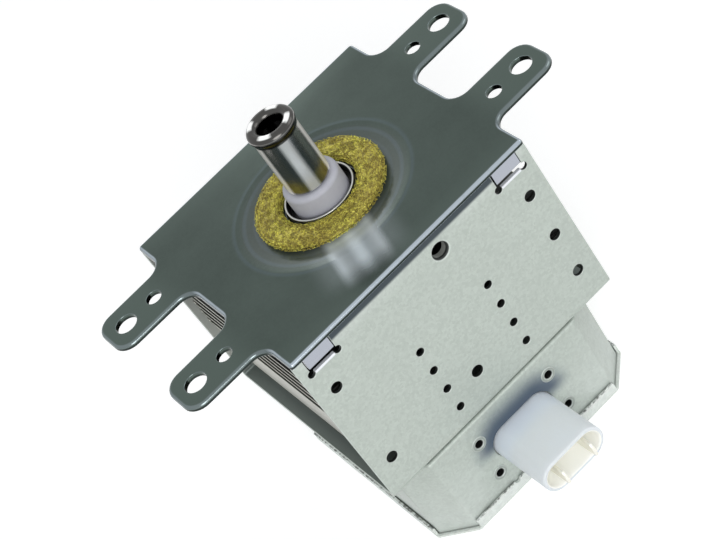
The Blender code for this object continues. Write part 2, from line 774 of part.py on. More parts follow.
def eyelet_holes():
    radius = EYELET_SHANK_RADIUS + CLEARANCE
    return [((x, BOX_FRONT, z), "Y", radius, 4 * BOX_THICKNESS) for x, z in eyelet_centres()]


def make_filter_lid():
    grow = CLEARANCE + LID_THICKNESS
    lean = BOX_DRAFT * (BOX_TOP - LID_RIM_HEIGHT) / BOX_HEIGHT
    length = BOX_LENGTH + 2 * (grow - lean)
    width = 2 * (grow - BOX_FRONT)
    corner = BOX_CORNER_CUT + grow * (2 - math.sqrt(2))
    mesh = can_mesh(
        "filter_lid", length, width, 0, LID_RIM_HEIGHT, corner, LID_EDGE_RADIUS, 0, "top"
    )
    lid = add_piece("filter_lid", mesh, "galvanised_steel")
    add_wall(lid, LID_THICKNESS)
    cut(lid, add_tool("lid_corners", blocks_mesh("lid_corners", lid_corner_blocks(length, width))))
    notches = [
        ((BOX_SHIFT + x, -width / 2, LID_RIM_HEIGHT), "Y", LID_NOTCH_RADIUS, 4 * LID_THICKNESS)
        for x in mirrored_xs(LID_NOTCH_X)
    ]
    cut(lid, add_tool("lid_notches", rods_mesh("lid_notches", notches)))


def lid_corner_blocks(length, width):
    """Blocks that take the lid's rim away at its four corners."""
    reach = BOX_CORNER_CUT + LID_CORNER_GAP
    blocks = []
    for x in (-1, 1):
        for y in (-1, 1):
            beyond = LID_THICKNESS
            xs = sorted((x * (length / 2 - reach), x * (length / 2 + beyond)))
            ys = sorted((y * (width / 2 - reach), y * (width / 2 + beyond)))
            low = (BOX_SHIFT + xs[0], ys[0], LID_THICKNESS + LID_EDGE_RADIUS / 2)
            high = (BOX_SHIFT + xs[1], ys[1], LID_RIM_HEIGHT + beyond)
            blocks.append((low, high))
    return blocks


# Magnets, poles and seals


def make_magnets():
    for name, low in (
        ("lower_magnet", LOWER_MAGNET_BOTTOM),
        ("upper_magnet", UPPER_MAGNET_BOTTOM),
    ):
        profile = ring_profile(
            MAGNET_BORE_RADIUS, MAGNET_RADIUS, low, low + MAGNET_THICKNESS, MAGNET_CHAMFER
        )
        turned(name, profile, "ferrite")


def mirror_profile(profile, middle):
    """The profile upside down about a height, still running down its outer side."""
    return [(radius, 2 * middle - height) for radius, height in reversed(profile)]


def pole_profile():
    """The upper pole piece: a flange whose dished middle reaches down into the anode."""
    top = UPPER_POLE_TOP
    flange = top - POLE_THICKNESS
    tip = flange - POLE_DEPTH
    floor = tip + POLE_THICKNESS * 0.9
    return [
        (POLE_RADIUS, top), (POLE_RADIUS, flange), (POLE_DISH_RADIUS, flange),
        (POLE_TIP_RADIUS, tip), (POLE_BORE_RADIUS, tip), (POLE_BORE_RADIUS, floor),
        (POLE_TIP_RADIUS - 0.9, floor), (POLE_DISH_RADIUS - 0.9, top),
    ]  # fmt: skip


def make_pole_pieces():
    upper = turned("upper_pole_piece", pole_profile(), "plated_steel")
    depth = 2 * (POLE_DEPTH + 2 * POLE_THICKNESS)
    hole = ((POLE_LEAD_HOLE_X, 0, UPPER_POLE_TOP), "Z", POLE_LEAD_HOLE_RADIUS, depth)
    cut(upper, add_tool("lead_hole", rods_mesh("lead_hole", [hole])))
    turned("lower_pole_piece", mirror_profile(pole_profile(), ANODE_MIDDLE), "plated_steel")


def make_seals():
    outer = SEAL_RADIUS
    inner = SEAL_RADIUS - SEAL_THICKNESS
    foot = UPPER_SEAL_FLANGE - SEAL_FLANGE_THICKNESS
    lip = PLATE_TOP + SEAL_LIP
    ledge = CERAMIC_BOTTOM - CLEARANCE
    turned(
        "upper_seal",
        [
            (outer, lip), (outer, UPPER_SEAL_FLANGE + 0.8), (outer + 0.8, UPPER_SEAL_FLANGE),
            (SEAL_FLANGE_RADIUS, UPPER_SEAL_FLANGE), (SEAL_FLANGE_RADIUS, foot), (inner, foot),
            (inner, ledge - SEAL_THICKNESS), (SEAL_LEDGE_BORE_RADIUS, ledge - SEAL_THICKNESS),
            (SEAL_LEDGE_BORE_RADIUS, ledge), (inner, ledge), (inner, lip),
        ],
        "stainless",
    )  # fmt: skip
    top = LOWER_SEAL_FLANGE + SEAL_FLANGE_THICKNESS
    turned(
        "lower_seal",
        [
            (SEAL_FLANGE_RADIUS, top), (SEAL_FLANGE_RADIUS, LOWER_SEAL_FLANGE),
            (outer + 0.8, LOWER_SEAL_FLANGE), (outer, LOWER_SEAL_FLANGE - 0.8),
            (outer, LOWER_SEAL_END), (inner, LOWER_SEAL_END), (inner, top),
        ],
        "stainless",
    )  # fmt: skip


# Anode


def make_anode():
    inner = ANODE_RADIUS - ANODE_WALL
    turned(
        "anode_cylinder", ring_profile(inner, ANODE_RADIUS, ANODE_BOTTOM, ANODE_TOP), "copper"
    )
    for number in range(VANES):
        make_vane(number)
    strap = STRAP_WIDTH + STRAP_SPACING
    low = VANE_BOTTOM + STRAP_HEIGHT
    for place, bottom in (("upper", VANE_TOP - STRAP_HEIGHT), ("lower", low - STRAP_HEIGHT)):
        for kind, start in (
            ("inner", STRAP_INNER_RADIUS),
            ("outer", STRAP_INNER_RADIUS + strap),
        ):
            profile = ring_profile(start, start + STRAP_WIDTH, bottom, bottom + STRAP_HEIGHT)
            turned(f"{place}_{kind}_strap", profile, "copper", 20)


def vane_outline(number):
    """A vane seen from its side: notched above and below, deeper under the strap it stays clear of."""
    seat = STRAP_HEIGHT + CLEARANCE
    free = seat + STRAP_FREE_DEPTH
    deep_inner = number % 2 == 0
    start = STRAP_INNER_RADIUS - STRAP_SPACING / 2
    middle = STRAP_INNER_RADIUS + STRAP_WIDTH + STRAP_SPACING / 2
    end = middle + STRAP_WIDTH + STRAP_SPACING
    outside = ANODE_RADIUS - ANODE_WALL - 2 * CLEARANCE
    upper = (free, seat) if deep_inner else (seat, free)
    lower = (seat, free) if deep_inner else (free, seat)
    return [
        (VANE_TIP_RADIUS, VANE_BOTTOM), (start, VANE_BOTTOM), (start, VANE_BOTTOM + lower[0]),
        (middle, VANE_BOTTOM + lower[0]), (middle, VANE_BOTTOM + lower[1]),
        (end, VANE_BOTTOM + lower[1]), (end, VANE_BOTTOM), (outside, VANE_BOTTOM),
        (outside, VANE_TOP), (end, VANE_TOP), (end, VANE_TOP - upper[1]),
        (middle, VANE_TOP - upper[1]), (middle, VANE_TOP - upper[0]),
        (start, VANE_TOP - upper[0]), (start, VANE_TOP), (VANE_TIP_RADIUS, VANE_TOP),
    ]  # fmt: skip


def make_vane(number):
    turn = Matrix.Rotation(math.tau * number / VANES, 4, "Z")
    frame = turn @ across_y(VANE_THICKNESS / 2)
    name = f"anode_vane_{number + 1:02d}"
    add_piece(name, sheet_mesh(name, [vane_outline(number)], VANE_THICKNESS, frame), "copper")


# Cathode


def make_cathode():
    upper = VANE_TOP - 0.2
    lower = VANE_BOTTOM + 0.2
    coil_bottom = lower + FILAMENT_WIRE_RADIUS + CLEARANCE
    coil_length = upper - lower - 2 * (FILAMENT_WIRE_RADIUS + CLEARANCE)
    wire(
        "filament",
        helix((0, 0, coil_bottom), "Z", FILAMENT_RADIUS, coil_length, FILAMENT_TURNS, 8),
        FILAMENT_WIRE_RADIUS, "tungsten", 0,
    )  # fmt: skip
    top = upper + SHIELD_THICKNESS
    turned(
        "upper_end_shield",
        [
            (0, top), (SHIELD_RADIUS * 0.6, top), (SHIELD_RADIUS, upper + 0.4),
            (SHIELD_RADIUS, upper), (0, upper),
        ],
        "molybdenum", 20, closed=False,
    )  # fmt: skip
    bore = LEAD_RADIUS + CLEARANCE
    turned(
        "lower_end_shield",
        ring_profile(bore, SHIELD_RADIUS, lower - SHIELD_THICKNESS, lower),
        "molybdenum", 20,
    )  # fmt: skip
    bend_top = LOWER_SEAL_FLANGE
    bend_bottom = STEM_TOP + 4
    centre = [
        (0, 0, upper - CLEARANCE), (0, 0, bend_top + 2), (0, 0, bend_top),
        (-LEAD_SPREAD, 0, bend_bottom), (-LEAD_SPREAD, 0, bend_bottom - 2),
        (-LEAD_SPREAD, 0, LEAD_END),
    ]  # fmt: skip
    wire("centre_lead", centre, LEAD_RADIUS, "molybdenum")
    side = [
        (SIDE_LEAD_RADIUS, 0, lower - SHIELD_THICKNESS - CLEARANCE),
        (SIDE_LEAD_RADIUS, 0, bend_top), (LEAD_SPREAD, 0, bend_bottom), (LEAD_SPREAD, 0, LEAD_END),
    ]  # fmt: skip
    wire("side_lead", side, LEAD_RADIUS, "molybdenum")
    make_stem()


def make_stem():
    stem = turned(
        "stem_ceramic",
        [
            (0, STEM_TOP), (STEM_RADIUS - 0.4, STEM_TOP), (STEM_RADIUS, STEM_TOP - 0.4),
            (STEM_RADIUS, STEM_BOTTOM + 0.4), (STEM_RADIUS - 0.4, STEM_BOTTOM), (0, STEM_BOTTOM),
        ],
        "white_ceramic", closed=False,
    )  # fmt: skip
    middle = (STEM_TOP + STEM_BOTTOM) / 2
    radius = LEAD_RADIUS + CLEARANCE
    holes = [((x, 0, middle), "Z", radius, 2 * STEM_HEIGHT) for x in mirrored_xs(LEAD_SPREAD)]
    cut(stem, add_tool("stem_holes", rods_mesh("stem_holes", holes)))


# Antenna


def make_antenna():
    turned(
        "antenna_ceramic",
        ring_profile(
            CERAMIC_BORE_RADIUS, CERAMIC_RADIUS, CERAMIC_BOTTOM, CERAMIC_TOP, CERAMIC_CHAMFER
        ),
        "white_ceramic",
    )
    make_exhaust_tube()
    make_antenna_cap()
    make_antenna_lead()
    make_gasket()


def make_exhaust_tube():
    """The copper tube that the air was drawn out through, pinched shut at its top."""
    bottom = CAP_BOTTOM
    flange = bottom + 0.6
    top = bottom + EXHAUST_HEIGHT
    inner = EXHAUST_RADIUS - EXHAUST_WALL
    turned(
        "exhaust_tube",
        [
            (0, top), (0.5, top - 0.1), (EXHAUST_RADIUS, top - 2.6), (EXHAUST_RADIUS, flange),
            (EXHAUST_FLANGE_RADIUS, flange), (EXHAUST_FLANGE_RADIUS, bottom), (inner, bottom),
            (inner, top - 3.0), (0, top - 1.2),
        ],
        "copper", SMALL_STEPS, closed=False,
    )  # fmt: skip


def arc_points(centre, radius, start, end, steps):
    """Points on an arc in the (radius, height) plane, with its angles in degrees."""
    angles = [math.radians(start + (end - start) * step / steps) for step in range(steps + 1)]
    return [
        (centre[0] + radius * math.cos(a), centre[1] + radius * math.sin(a)) for a in angles
    ]


def make_antenna_cap():
    """A drawn cap: its wall flares a little, rolls over at the rim and turns down into a blind well."""
    top = CAP_BOTTOM + CAP_HEIGHT
    roll = (CAP_RIM_RADIUS - CAP_WELL_RADIUS) / 2
    centre = ((CAP_RIM_RADIUS + CAP_WELL_RADIUS) / 2, top - roll)
    floor = top - CAP_WELL_DEPTH
    inside = CAP_RADIUS - CAP_WALL
    profile = [(0, floor), (CAP_WELL_RADIUS, floor)]
    profile += arc_points(centre, roll, 180, 0, 6)
    profile += [(CAP_RADIUS, centre[1] - 1.4), (CAP_RADIUS, CAP_BOTTOM), (inside, CAP_BOTTOM)]
    profile += [(inside, centre[1] - 1.4)]
    profile += arc_points(centre, roll - CAP_WALL, 0, 180, 4)
    profile += [(CAP_WELL_RADIUS + CAP_WALL, floor - CAP_WALL), (0, floor - CAP_WALL)]
    turned("antenna_cap", profile, "stainless", closed=False)


def make_antenna_lead():
    """The rod from one vane, through the pole piece and up the axis into the exhaust tube."""
    foot = VANE_TOP + CLEARANCE
    start = ANTENNA_LEAD_FOOT_X
    route = [
        (start, 0, foot), (start, 0, foot + 1.4), (start - 1, 0, foot + 3),
        (POLE_LEAD_HOLE_X - 0.4, 0, UPPER_POLE_TOP - POLE_THICKNESS - 1.6),
        (6.6, 0, UPPER_POLE_TOP + 4),
        (1.6, 0, CERAMIC_BOTTOM - 3), (0, 0, CERAMIC_BOTTOM + 2), (0, 0, CAP_BOTTOM + 5.5),
    ]  # fmt: skip
    wire("antenna_lead", smooth_path(route, 2), ANTENNA_LEAD_RADIUS, "copper", 2)


def make_gasket():
    bottom = PLATE_TOP - RECESS_DEPTH + CLEARANCE
    outline = rectangle(
        GASKET_RADIUS - GASKET_BORE_RADIUS, GASKET_THICKNESS, 1.1, 2,
        ((GASKET_RADIUS + GASKET_BORE_RADIUS) / 2, bottom + GASKET_THICKNESS / 2),
    )  # fmt: skip
    turned("rf_gasket", list(reversed(outline)), "brass_mesh", FINE_STEPS)


# Cooling fins


def fin_height(number):
    return ANODE_BOTTOM + FIN_FIRST_RISE + number * FIN_PITCH


def fin_section(number):
    """A fin's folded section and the frame to extrude it in.

    The lowest fin turns down at both open ends, to guide the air past the anode. The others turn up
    along both walls of the yoke, to press on them.
    """
    height = fin_height(number)
    t = FIN_THICKNESS
    bend = FIN_BEND_RADIUS
    if number == 0:
        half = FIN_LENGTH / 2 - FIN_GUIDE_INSET
        drop = height - FIN_GUIDE_DROP
        corners = [
            (-half, drop), (-half, height + t, bend), (half, height + t, bend), (half, drop),
            (half - t, drop), (half - t, height, bend - t), (-half + t, height, bend - t),
            (-half + t, drop),
        ]  # fmt: skip
        span = 2 * (YOKE_INSIDE - CLEARANCE)
        return rounded_outline(corners, 3), span, across_y(span / 2)
    half = YOKE_INSIDE - CLEARANCE
    rise = height + FIN_SIDE_BEND
    corners = [
        (-half, rise), (-half, height, bend), (half, height, bend), (half, rise),
        (half - t, rise), (half - t, height + t, bend - t), (-half + t, height + t, bend - t),
        (-half + t, rise),
    ]  # fmt: skip
    return rounded_outline(corners, 3), FIN_LENGTH, across_x(-FIN_LENGTH / 2)


def make_fins():
    bore = ANODE_RADIUS + CLEARANCE
    for number in range(FINS):
        name = f"cooling_fin_{number + 1}"
        section, span, frame = fin_section(number)
        fin = add_piece(name, sheet_mesh(name, [section], span, frame), "aluminium")
        height = fin_height(number)
        hole = ((0, 0, height), "Z", bore + FIN_THICKNESS / 2, 4 * FIN_THICKNESS)
        tool = rods_mesh(f"fin_bore_{number + 1}", [hole], ROUND_STEPS)
        cut(fin, add_tool(f"fin_bore_{number + 1}", tool))
        outlines = [circle(bore + FIN_THICKNESS, ROUND_STEPS), circle(bore, ROUND_STEPS)]
        base = height + FIN_THICKNESS / 5
        collar = sheet_mesh(
            f"fin_collar_{number + 1}", outlines, FIN_COLLAR_HEIGHT, at_height(base)
        )
        join(fin, add_tool(f"fin_collar_{number + 1}", collar))


# Filter


def make_connector():
    centre = (BOX_SHIFT, CONNECTOR_RISE)
    outer = obround(CONNECTOR_LENGTH, CONNECTOR_HEIGHT, 6, centre)
    length = HOUSING_BACK - HOUSING_FRONT
    housing = add_piece(
        "connector_housing",
        sheet_mesh("connector_housing", [outer], length, across_y(HOUSING_BACK)),
        "white_plastic",
    )
    bore = obround(
        CONNECTOR_LENGTH - 2 * CONNECTOR_WALL, CONNECTOR_HEIGHT - 2 * CONNECTOR_WALL, 6, centre
    )
    socket = sheet_mesh("housing_socket", [bore], length, across_y(CONNECTOR_FLOOR_FRONT))
    cut(housing, add_tool("housing_socket", socket))
    cut(housing, add_tool("terminal_holes", rods_mesh("terminal_holes", terminal_holes())))


def terminal_holes():
    radius = TERMINAL_ROD_RADIUS + CLEARANCE
    middle = (HOUSING_BACK + CONNECTOR_FLOOR_FRONT) / 2
    depth = 2 * CONNECTOR_FLOOR
    return [((x, middle, CONNECTOR_RISE), "Y", radius, depth) for x in TERMINAL_XS]


def make_ground_plate():
    centre = (BOX_SHIFT, CONNECTOR_RISE)
    radius = TERMINAL_ROD_RADIUS + 4 * CLEARANCE
    holes = [circle(radius, HOLE_STEPS, (x, CONNECTOR_RISE)) for x in TERMINAL_XS]
    rivets = EYELET_SHANK_RADIUS + CLEARANCE
    holes += [circle(rivets, HOLE_STEPS, place) for place in eyelet_centres()]
    outline = rectangle(
        GROUND_PLATE_LENGTH, GROUND_PLATE_HEIGHT, GROUND_PLATE_CORNER, 3, centre
    )
    back = GROUND_PLATE_FRONT + GROUND_PLATE_THICKNESS
    mesh = sheet_mesh("ground_plate", [outline, *holes], GROUND_PLATE_THICKNESS, across_y(back))
    add_piece("ground_plate", mesh, "galvanised_steel")


def make_capacitor():
    outline = obround(CAPACITOR_LENGTH, CAPACITOR_HEIGHT, 5, (BOX_SHIFT, CONNECTOR_RISE))
    radius = TERMINAL_ROD_RADIUS + CLEARANCE
    holes = [circle(radius, HOLE_STEPS, (x, CONNECTOR_RISE)) for x in TERMINAL_XS]
    mesh = sheet_mesh(
        "capacitor_block", [outline, *holes], CAPACITOR_DEPTH, across_y(CAPACITOR_BACK)
    )
    add_piece("capacitor_block", mesh, "brown_resin")


def make_terminals():
    """A flat blade in the socket, on a rod that runs back through the capacitor."""
    half = TERMINAL_BLADE_WIDTH / 2
    for side, x in zip(("left", "right"), TERMINAL_XS):
        name = f"terminal_{side}"
        front = HOUSING_FRONT - TERMINAL_BLADE_REACH
        root = CONNECTOR_FLOOR_FRONT - CLEARANCE
        outline = rounded_outline([
            (front, CONNECTOR_RISE - half, 1.2), (root, CONNECTOR_RISE - half),
            (root, CONNECTOR_RISE + half), (front, CONNECTOR_RISE + half, 1.2),
        ], 3)  # fmt: skip
        frame = across_x(x - TERMINAL_BLADE_THICKNESS / 2)
        blade = add_piece(
            name, sheet_mesh(name, [outline], TERMINAL_BLADE_THICKNESS, frame), "tinned_brass"
        )
        start = root - 2.5
        centre = (x, (start + TERMINAL_BACK) / 2, CONNECTOR_RISE)
        rod = (centre, "Y", TERMINAL_ROD_RADIUS, TERMINAL_BACK - start)
        tool = f"terminal_rod_{side}"
        join(blade, add_tool(tool, rods_mesh(tool, [rod])))


def make_eyelets():
    """Tubular rivets that hold the ground plate to the box, clinched on the inside."""
    outside = BOX_FRONT - CLEARANCE
    inside = GROUND_PLATE_FRONT + GROUND_PLATE_THICKNESS + CLEARANCE
    length = inside - outside
    head = EYELET_HEAD_THICKNESS
    profile = [
        (EYELET_HEAD_RADIUS - 0.3, length + head), (EYELET_HEAD_RADIUS, length),
        (EYELET_SHANK_RADIUS, length), (EYELET_SHANK_RADIUS, 0), (EYELET_HEAD_RADIUS - 0.2, 0),
        (EYELET_HEAD_RADIUS - 0.4, -head), (EYELET_BORE_RADIUS, -head),
        (EYELET_BORE_RADIUS, length + head),
    ]  # fmt: skip
    for number, (x, z) in enumerate(eyelet_centres()):
        eyelet = turned(f"eyelet_{number + 1}", profile, "galvanised_steel", HOLE_STEPS)
        eyelet.location = Vector((x, inside, z)) * MM
        eyelet.rotation_euler = (math.pi / 2, 0, 0)


def make_chokes():
    for side, x, lead in zip(("left", "right"), TERMINAL_XS, mirrored_xs(LEAD_SPREAD)):
        length = CHOKE_TURNS * CHOKE_TURN_PITCH
        coil = helix(
            (x, CHOKE_FRONT, CONNECTOR_RISE), "Y", CHOKE_RADIUS, length, CHOKE_TURNS, 8,
            math.radians(-90),
        )  # fmt: skip
        entry = [
            (x, TERMINAL_BACK + CLEARANCE, CONNECTOR_RISE),
            (x, TERMINAL_BACK + 1.0, CONNECTOR_RISE),
            (x, CHOKE_FRONT - 0.7, CONNECTOR_RISE - CHOKE_RADIUS / 2),
        ]
        floor = CONNECTOR_RISE - CHOKE_RADIUS
        leaving = CHOKE_FRONT + length + 2 * CHOKE_WIRE_RADIUS
        reach = -LEAD_RADIUS - CLEARANCE - CHOKE_WIRE_RADIUS
        height = LEAD_END + 2 * CHOKE_WIRE_RADIUS
        exit_path = smooth_path([
            (x, leaving, floor), (lead, (leaving + reach) / 2, height), (lead, reach, height)
        ], 3)  # fmt: skip
        wire(f"choke_coil_{side}", entry + coil + exit_path, CHOKE_WIRE_RADIUS, "copper")
        middle = (x, CHOKE_FRONT + length / 2, CONNECTOR_RISE)
        core = (middle, "Y", CORE_RADIUS, length - 2 * CORE_INSET)
        name = f"choke_core_{side}"
        add_piece(name, rods_mesh(name, [core], SMALL_STEPS), "ferrite")


def build_magnetron():
    make_mounting_plate()
    make_yoke()
    make_filter_box()
    make_filter_lid()
    make_magnets()
    make_pole_pieces()
    make_seals()
    make_anode()
    make_cathode()
    make_antenna()
    make_fins()
    make_connector()
    make_ground_plate()
    make_capacitor()
    make_terminals()
    make_eyelets()
    make_chokes()


clear_scene()
PIECES = new_collection("magnetron")
TOOLS = new_collection("cutters")
build_magnetron()
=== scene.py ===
"""The looks of a microwave oven's magnetron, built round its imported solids.

Lengths in the tables are millimetres and become metres through MM. Each visible sheet, turned part and
moulding is remade here with its real edges and finish, at the size and place of the solid it stands for.
"""

import json
import math

import bmesh
import bpy
from bpy.props import FloatProperty, FloatVectorProperty, IntProperty, PointerProperty
from bpy.types import Operator, Panel, PropertyGroup
from mathutils import Matrix, Vector


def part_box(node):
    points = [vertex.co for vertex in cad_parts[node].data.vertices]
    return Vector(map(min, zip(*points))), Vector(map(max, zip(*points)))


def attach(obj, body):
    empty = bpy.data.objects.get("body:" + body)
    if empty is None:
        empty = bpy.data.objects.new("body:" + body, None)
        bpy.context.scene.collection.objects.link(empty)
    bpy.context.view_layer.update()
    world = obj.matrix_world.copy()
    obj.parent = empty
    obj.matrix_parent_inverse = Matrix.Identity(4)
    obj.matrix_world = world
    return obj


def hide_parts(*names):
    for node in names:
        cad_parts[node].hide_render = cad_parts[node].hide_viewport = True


bl_info = {
    "name": "Magnetron looks",
    "version": (1, 0, 0),
    "blender": (4, 5, 0),
    "location": "3D View > Sidebar > Magnetron",
    "description": "Dresses the magnetron's solids with real edges and finishes",
    "category": "Object",
}

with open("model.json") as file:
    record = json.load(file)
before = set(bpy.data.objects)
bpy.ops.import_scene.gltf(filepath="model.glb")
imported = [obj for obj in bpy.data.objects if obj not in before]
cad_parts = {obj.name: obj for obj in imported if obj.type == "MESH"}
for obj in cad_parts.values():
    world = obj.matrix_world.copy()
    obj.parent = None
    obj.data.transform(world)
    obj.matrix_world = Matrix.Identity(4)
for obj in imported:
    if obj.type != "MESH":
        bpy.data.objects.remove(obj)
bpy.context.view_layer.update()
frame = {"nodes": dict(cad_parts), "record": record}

MM = 0.001
GAP = 0.3
SHARP_ANGLE = math.radians(40)
WORN_ANGLES = (math.radians(20), math.radians(65))

# Mounting plate
PLATE_LENGTH = 80.0
PLATE_WIDTH = 78.4
PLATE_THICKNESS = 1.6
PLATE_TOP = 87.0
PLATE_ROUNDING = 1.0
PLATE_UPPER_EDGE = 0.9
EAR_REACH = 23.8
EAR_WIDTH = 16.0
EAR_TAPER = 0.15
EAR_ROUNDING = 5.0
EAR_ROOT_ROUNDING = 4.5
EAR_PITCH = 36.8
EAR_HOLES = ((6.5, 3.15), (16.3, 2.25))  # distance from the tip, radius
DISH_RADIUS = 25.0
DISH_FLOOR_RADIUS = 20.4
DISH_DEPTH = 0.4
PLATE_BORE = 10.6
STREAK_ANGLE = -104.0
STREAK_HALF_WIDTH = 6.8
TAB_X = 32.4
TAB_WIDTH = 8.2
TAB_DROP = 5.4
TAB_THICKNESS = 1.5
TAB_INSET = 0.2
TAB_ROOT = 2.0
TAB_ROOT_RADIUS = 1.2
TAB_EDGE = 0.12
TAB_FOOT_ROUNDING = 0.3

# Yoke
YOKE_HALF_WIDTH = 38.6
YOKE_THICKNESS = 1.2
YOKE_BEND = 1.8
YOKE_BOTTOM = 30.0
YOKE_TOP = 85.1
YOKE_BORE = 11.6
NOTCH_FLOOR = 79.8
NOTCH_RELIEF = 1.1
CORNER_HOLE = 1.65
CORNER_HOLE_X = 34.0
CORNER_HOLE_DROPS = (15.8, 45.5)
MIDDLE_HOLE_DROP = 31.0
VENT_HOLE = 1.2
VENT_X = 12.1
VENT_DROPS = (27.0, 34.7, 42.4, 50.1)
LOCATING_HOLE = 1.75
LOCATING_X = -3.1
FLANGED_HOLE = 2.2
FLANGED_X = 7.1
FLANGED_DROP = 7.9
FLANGED_RIM = 0.8
FLANGED_REACH = 1.8

# Filter box and lid
BOX_SHIFT = -1.3
BOX_LENGTH = 70.0
BOX_FRONT = -38.4
BOX_BOTTOM = 1.1
BOX_TOP = 29.7
BOX_THICKNESS = 0.8
BOX_CUT = 8.2
BOX_EDGE = 0.9
BOX_LEAN = 0.8
BOX_BORE = 11.6
CORNER_ROUNDING = 1.4
RIM_ROUNDING = 0.15
INNER_ROUNDING = 0.3
LID_LENGTH = 70.757
LID_WIDTH = 79.0
LID_HEIGHT = 3.9
LID_THICKNESS = 0.8
LID_CUT = 8.844
LID_EDGE = 0.9
LID_CORNER_CUT = 9.4
LID_NOTCH = 0.9
LID_NOTCH_X = 10.6

# Connector, terminals and rivets
CONNECTOR_Z = 16.0
CONNECTOR_LENGTH = 20.6
CONNECTOR_HEIGHT = 9.8
CONNECTOR_WALL = 1.3
CONNECTOR_BACK = -37.6
CONNECTOR_FRONT = -60.0
SOCKET_FLOOR = -45.6
TERMINAL_XS = (-6.3, 3.7)
TERMINAL_FRONT = -63.0
TERMINAL_WIDTH = 5.0
TERMINAL_THICKNESS = 0.8
TERMINAL_ROD = 1.1
TERMINAL_BACK = -27.8
RIVET_XS = (-14.2, 11.6)
RIVET_ZS = (9.5, 22.5)
RIVET_HEAD = 2.3
RIVET_BORE = 1.15
RIVET_HOLE = 2.0

# Antenna and gasket
CERAMIC_RADIUS = 8.0
CERAMIC_BORE = 5.0
CERAMIC_BOTTOM = 86.2
CERAMIC_TOP = 94.2
CAP_RADIUS = 6.3
CAP_RIM_RADIUS = 6.85
CAP_WELL_DEPTH = 9.9
CAP_WALL = 0.5
CAP_BOTTOM = 94.5
CAP_TOP = 115.3
CAP_BAND_ANGLE = -102.5
CAP_SPOT_ANGLE = 133.0
CAP_MOUTH = (4.3, 114.3)  # radius, height
CAP_NECK = (111.9, 113.9)  # lower end, upper end
GASKET_RADIUS = 18.8
GASKET_BORE = 10.8
GASKET_BOTTOM = 86.9
GASKET_TOP = 89.5
GASKET_CORE_INSET = 0.35
WIRE_SIDES = 4
AROUND = "round_the_ring"
OUTWARDS = "outwards"

# Tube, magnets and fins
MAGNETS = {"lower_magnet": 31.5, "upper_magnet": 74.1}
MAGNET_RADIUS = 27.0
MAGNET_BORE = 12.0
MAGNET_THICKNESS = 11.0
ANODE_RADIUS = 19.0
ANODE_WALL = 2.0
ANODE_BOTTOM = 46.2
ANODE_TOP = 70.4
ANODE_MIDDLE = 58.3
POLE_TOP = 72.7
POLE_RADIUS = 18.7
POLE_THICKNESS = 2.0
POLE_CONE_THICKNESS = 1.8
POLE_DEPTH = 5.7
POLE_BORE = 4.8
LEAD_HOLE = 2.3
LEAD_HOLE_X = 9.6
SEAL_RADIUS = 10.0
SEAL_WALL = 0.6
SEAL_FLANGE_RADIUS = 16.0
SEAL_LIP_TOP = 88.8
SEAL_FOOT = 73.0
SEAL_BORE = 6.0
SEAL_MOUTH = (9.65, 88.7)  # radius, height
FIN_FIRST = 49.7
FIN_PITCH = 3.85
FINS = 6
FIN_THICKNESS = 0.5
FIN_HALF_LENGTH = 38.0
FIN_HALF_WIDTH = 37.1
FIN_BEND = 0.8
FIN_SIDE_BEND = 1.4
FIN_COLLAR = 1.7
GUIDE_HALF_LENGTH = 36.8
GUIDE_DROP = 13.2
FIN_EDGE = 0.12

# Colours that a finish holds besides its own
# Painted reflection of the antenna cap on the plate
PAINTED_PALE_REFLECTION = (0.76, 0.84, 0.89)
DISH_LINES = (0.20, 0.26, 0.36)
# Painted light: the tabs paler than the plate, as if lit from the front
PAINTED_TAB_LIGHT = (0.40, 0.42, 0.47)
# Worn edges of the plate, painted bright as a highlight
WORN_EDGE_HIGHLIGHT = (0.42, 0.47, 0.52)
RUBBED_ZINC = (0.80, 0.84, 0.82)
# Painted light on the ledges of the yoke's notches
PAINTED_LEDGE_LIGHT = (0.80, 0.82, 0.86)
# Painted shade in the yoke: hole walls, inner floor, inner walls
HOLE_WALL_SHADE = (0.03, 0.034, 0.032)
YOKE_FLOOR_SHADE = (0.17, 0.20, 0.185)
YOKE_WALL_SHADE = (0.36, 0.375, 0.35)
UNDER_PLATE = (0.04, 0.055, 0.065)
OVER_SOCKET = (0.085, 0.115, 0.155)
# Painted shade of the gap along the lid's rim
GAP_SHADE = (0.06, 0.065, 0.06)
RIVET_INSIDE = (0.012, 0.012, 0.012)
# Painted shade between the fins
BETWEEN_FINS = (0.07, 0.073, 0.068)
# Painted reflection down the cap's middle, and painted highlights on its rim
CAP_CENTRE_REFLECTION = (0.16, 0.20, 0.23)
CAP_GLINT = (1.0, 1.0, 0.98)
# Painted shade in the cap's well and the seal's cup
HOLLOW_SHADE = (0.02, 0.02, 0.02)
# Painted light inside the socket: a pale colour and a glow
PAINTED_SOCKET_LIGHT = (0.96, 0.96, 0.90)
PAINTED_SOCKET_GLOW = (0.10, 0.10, 0.085)


# Outlines


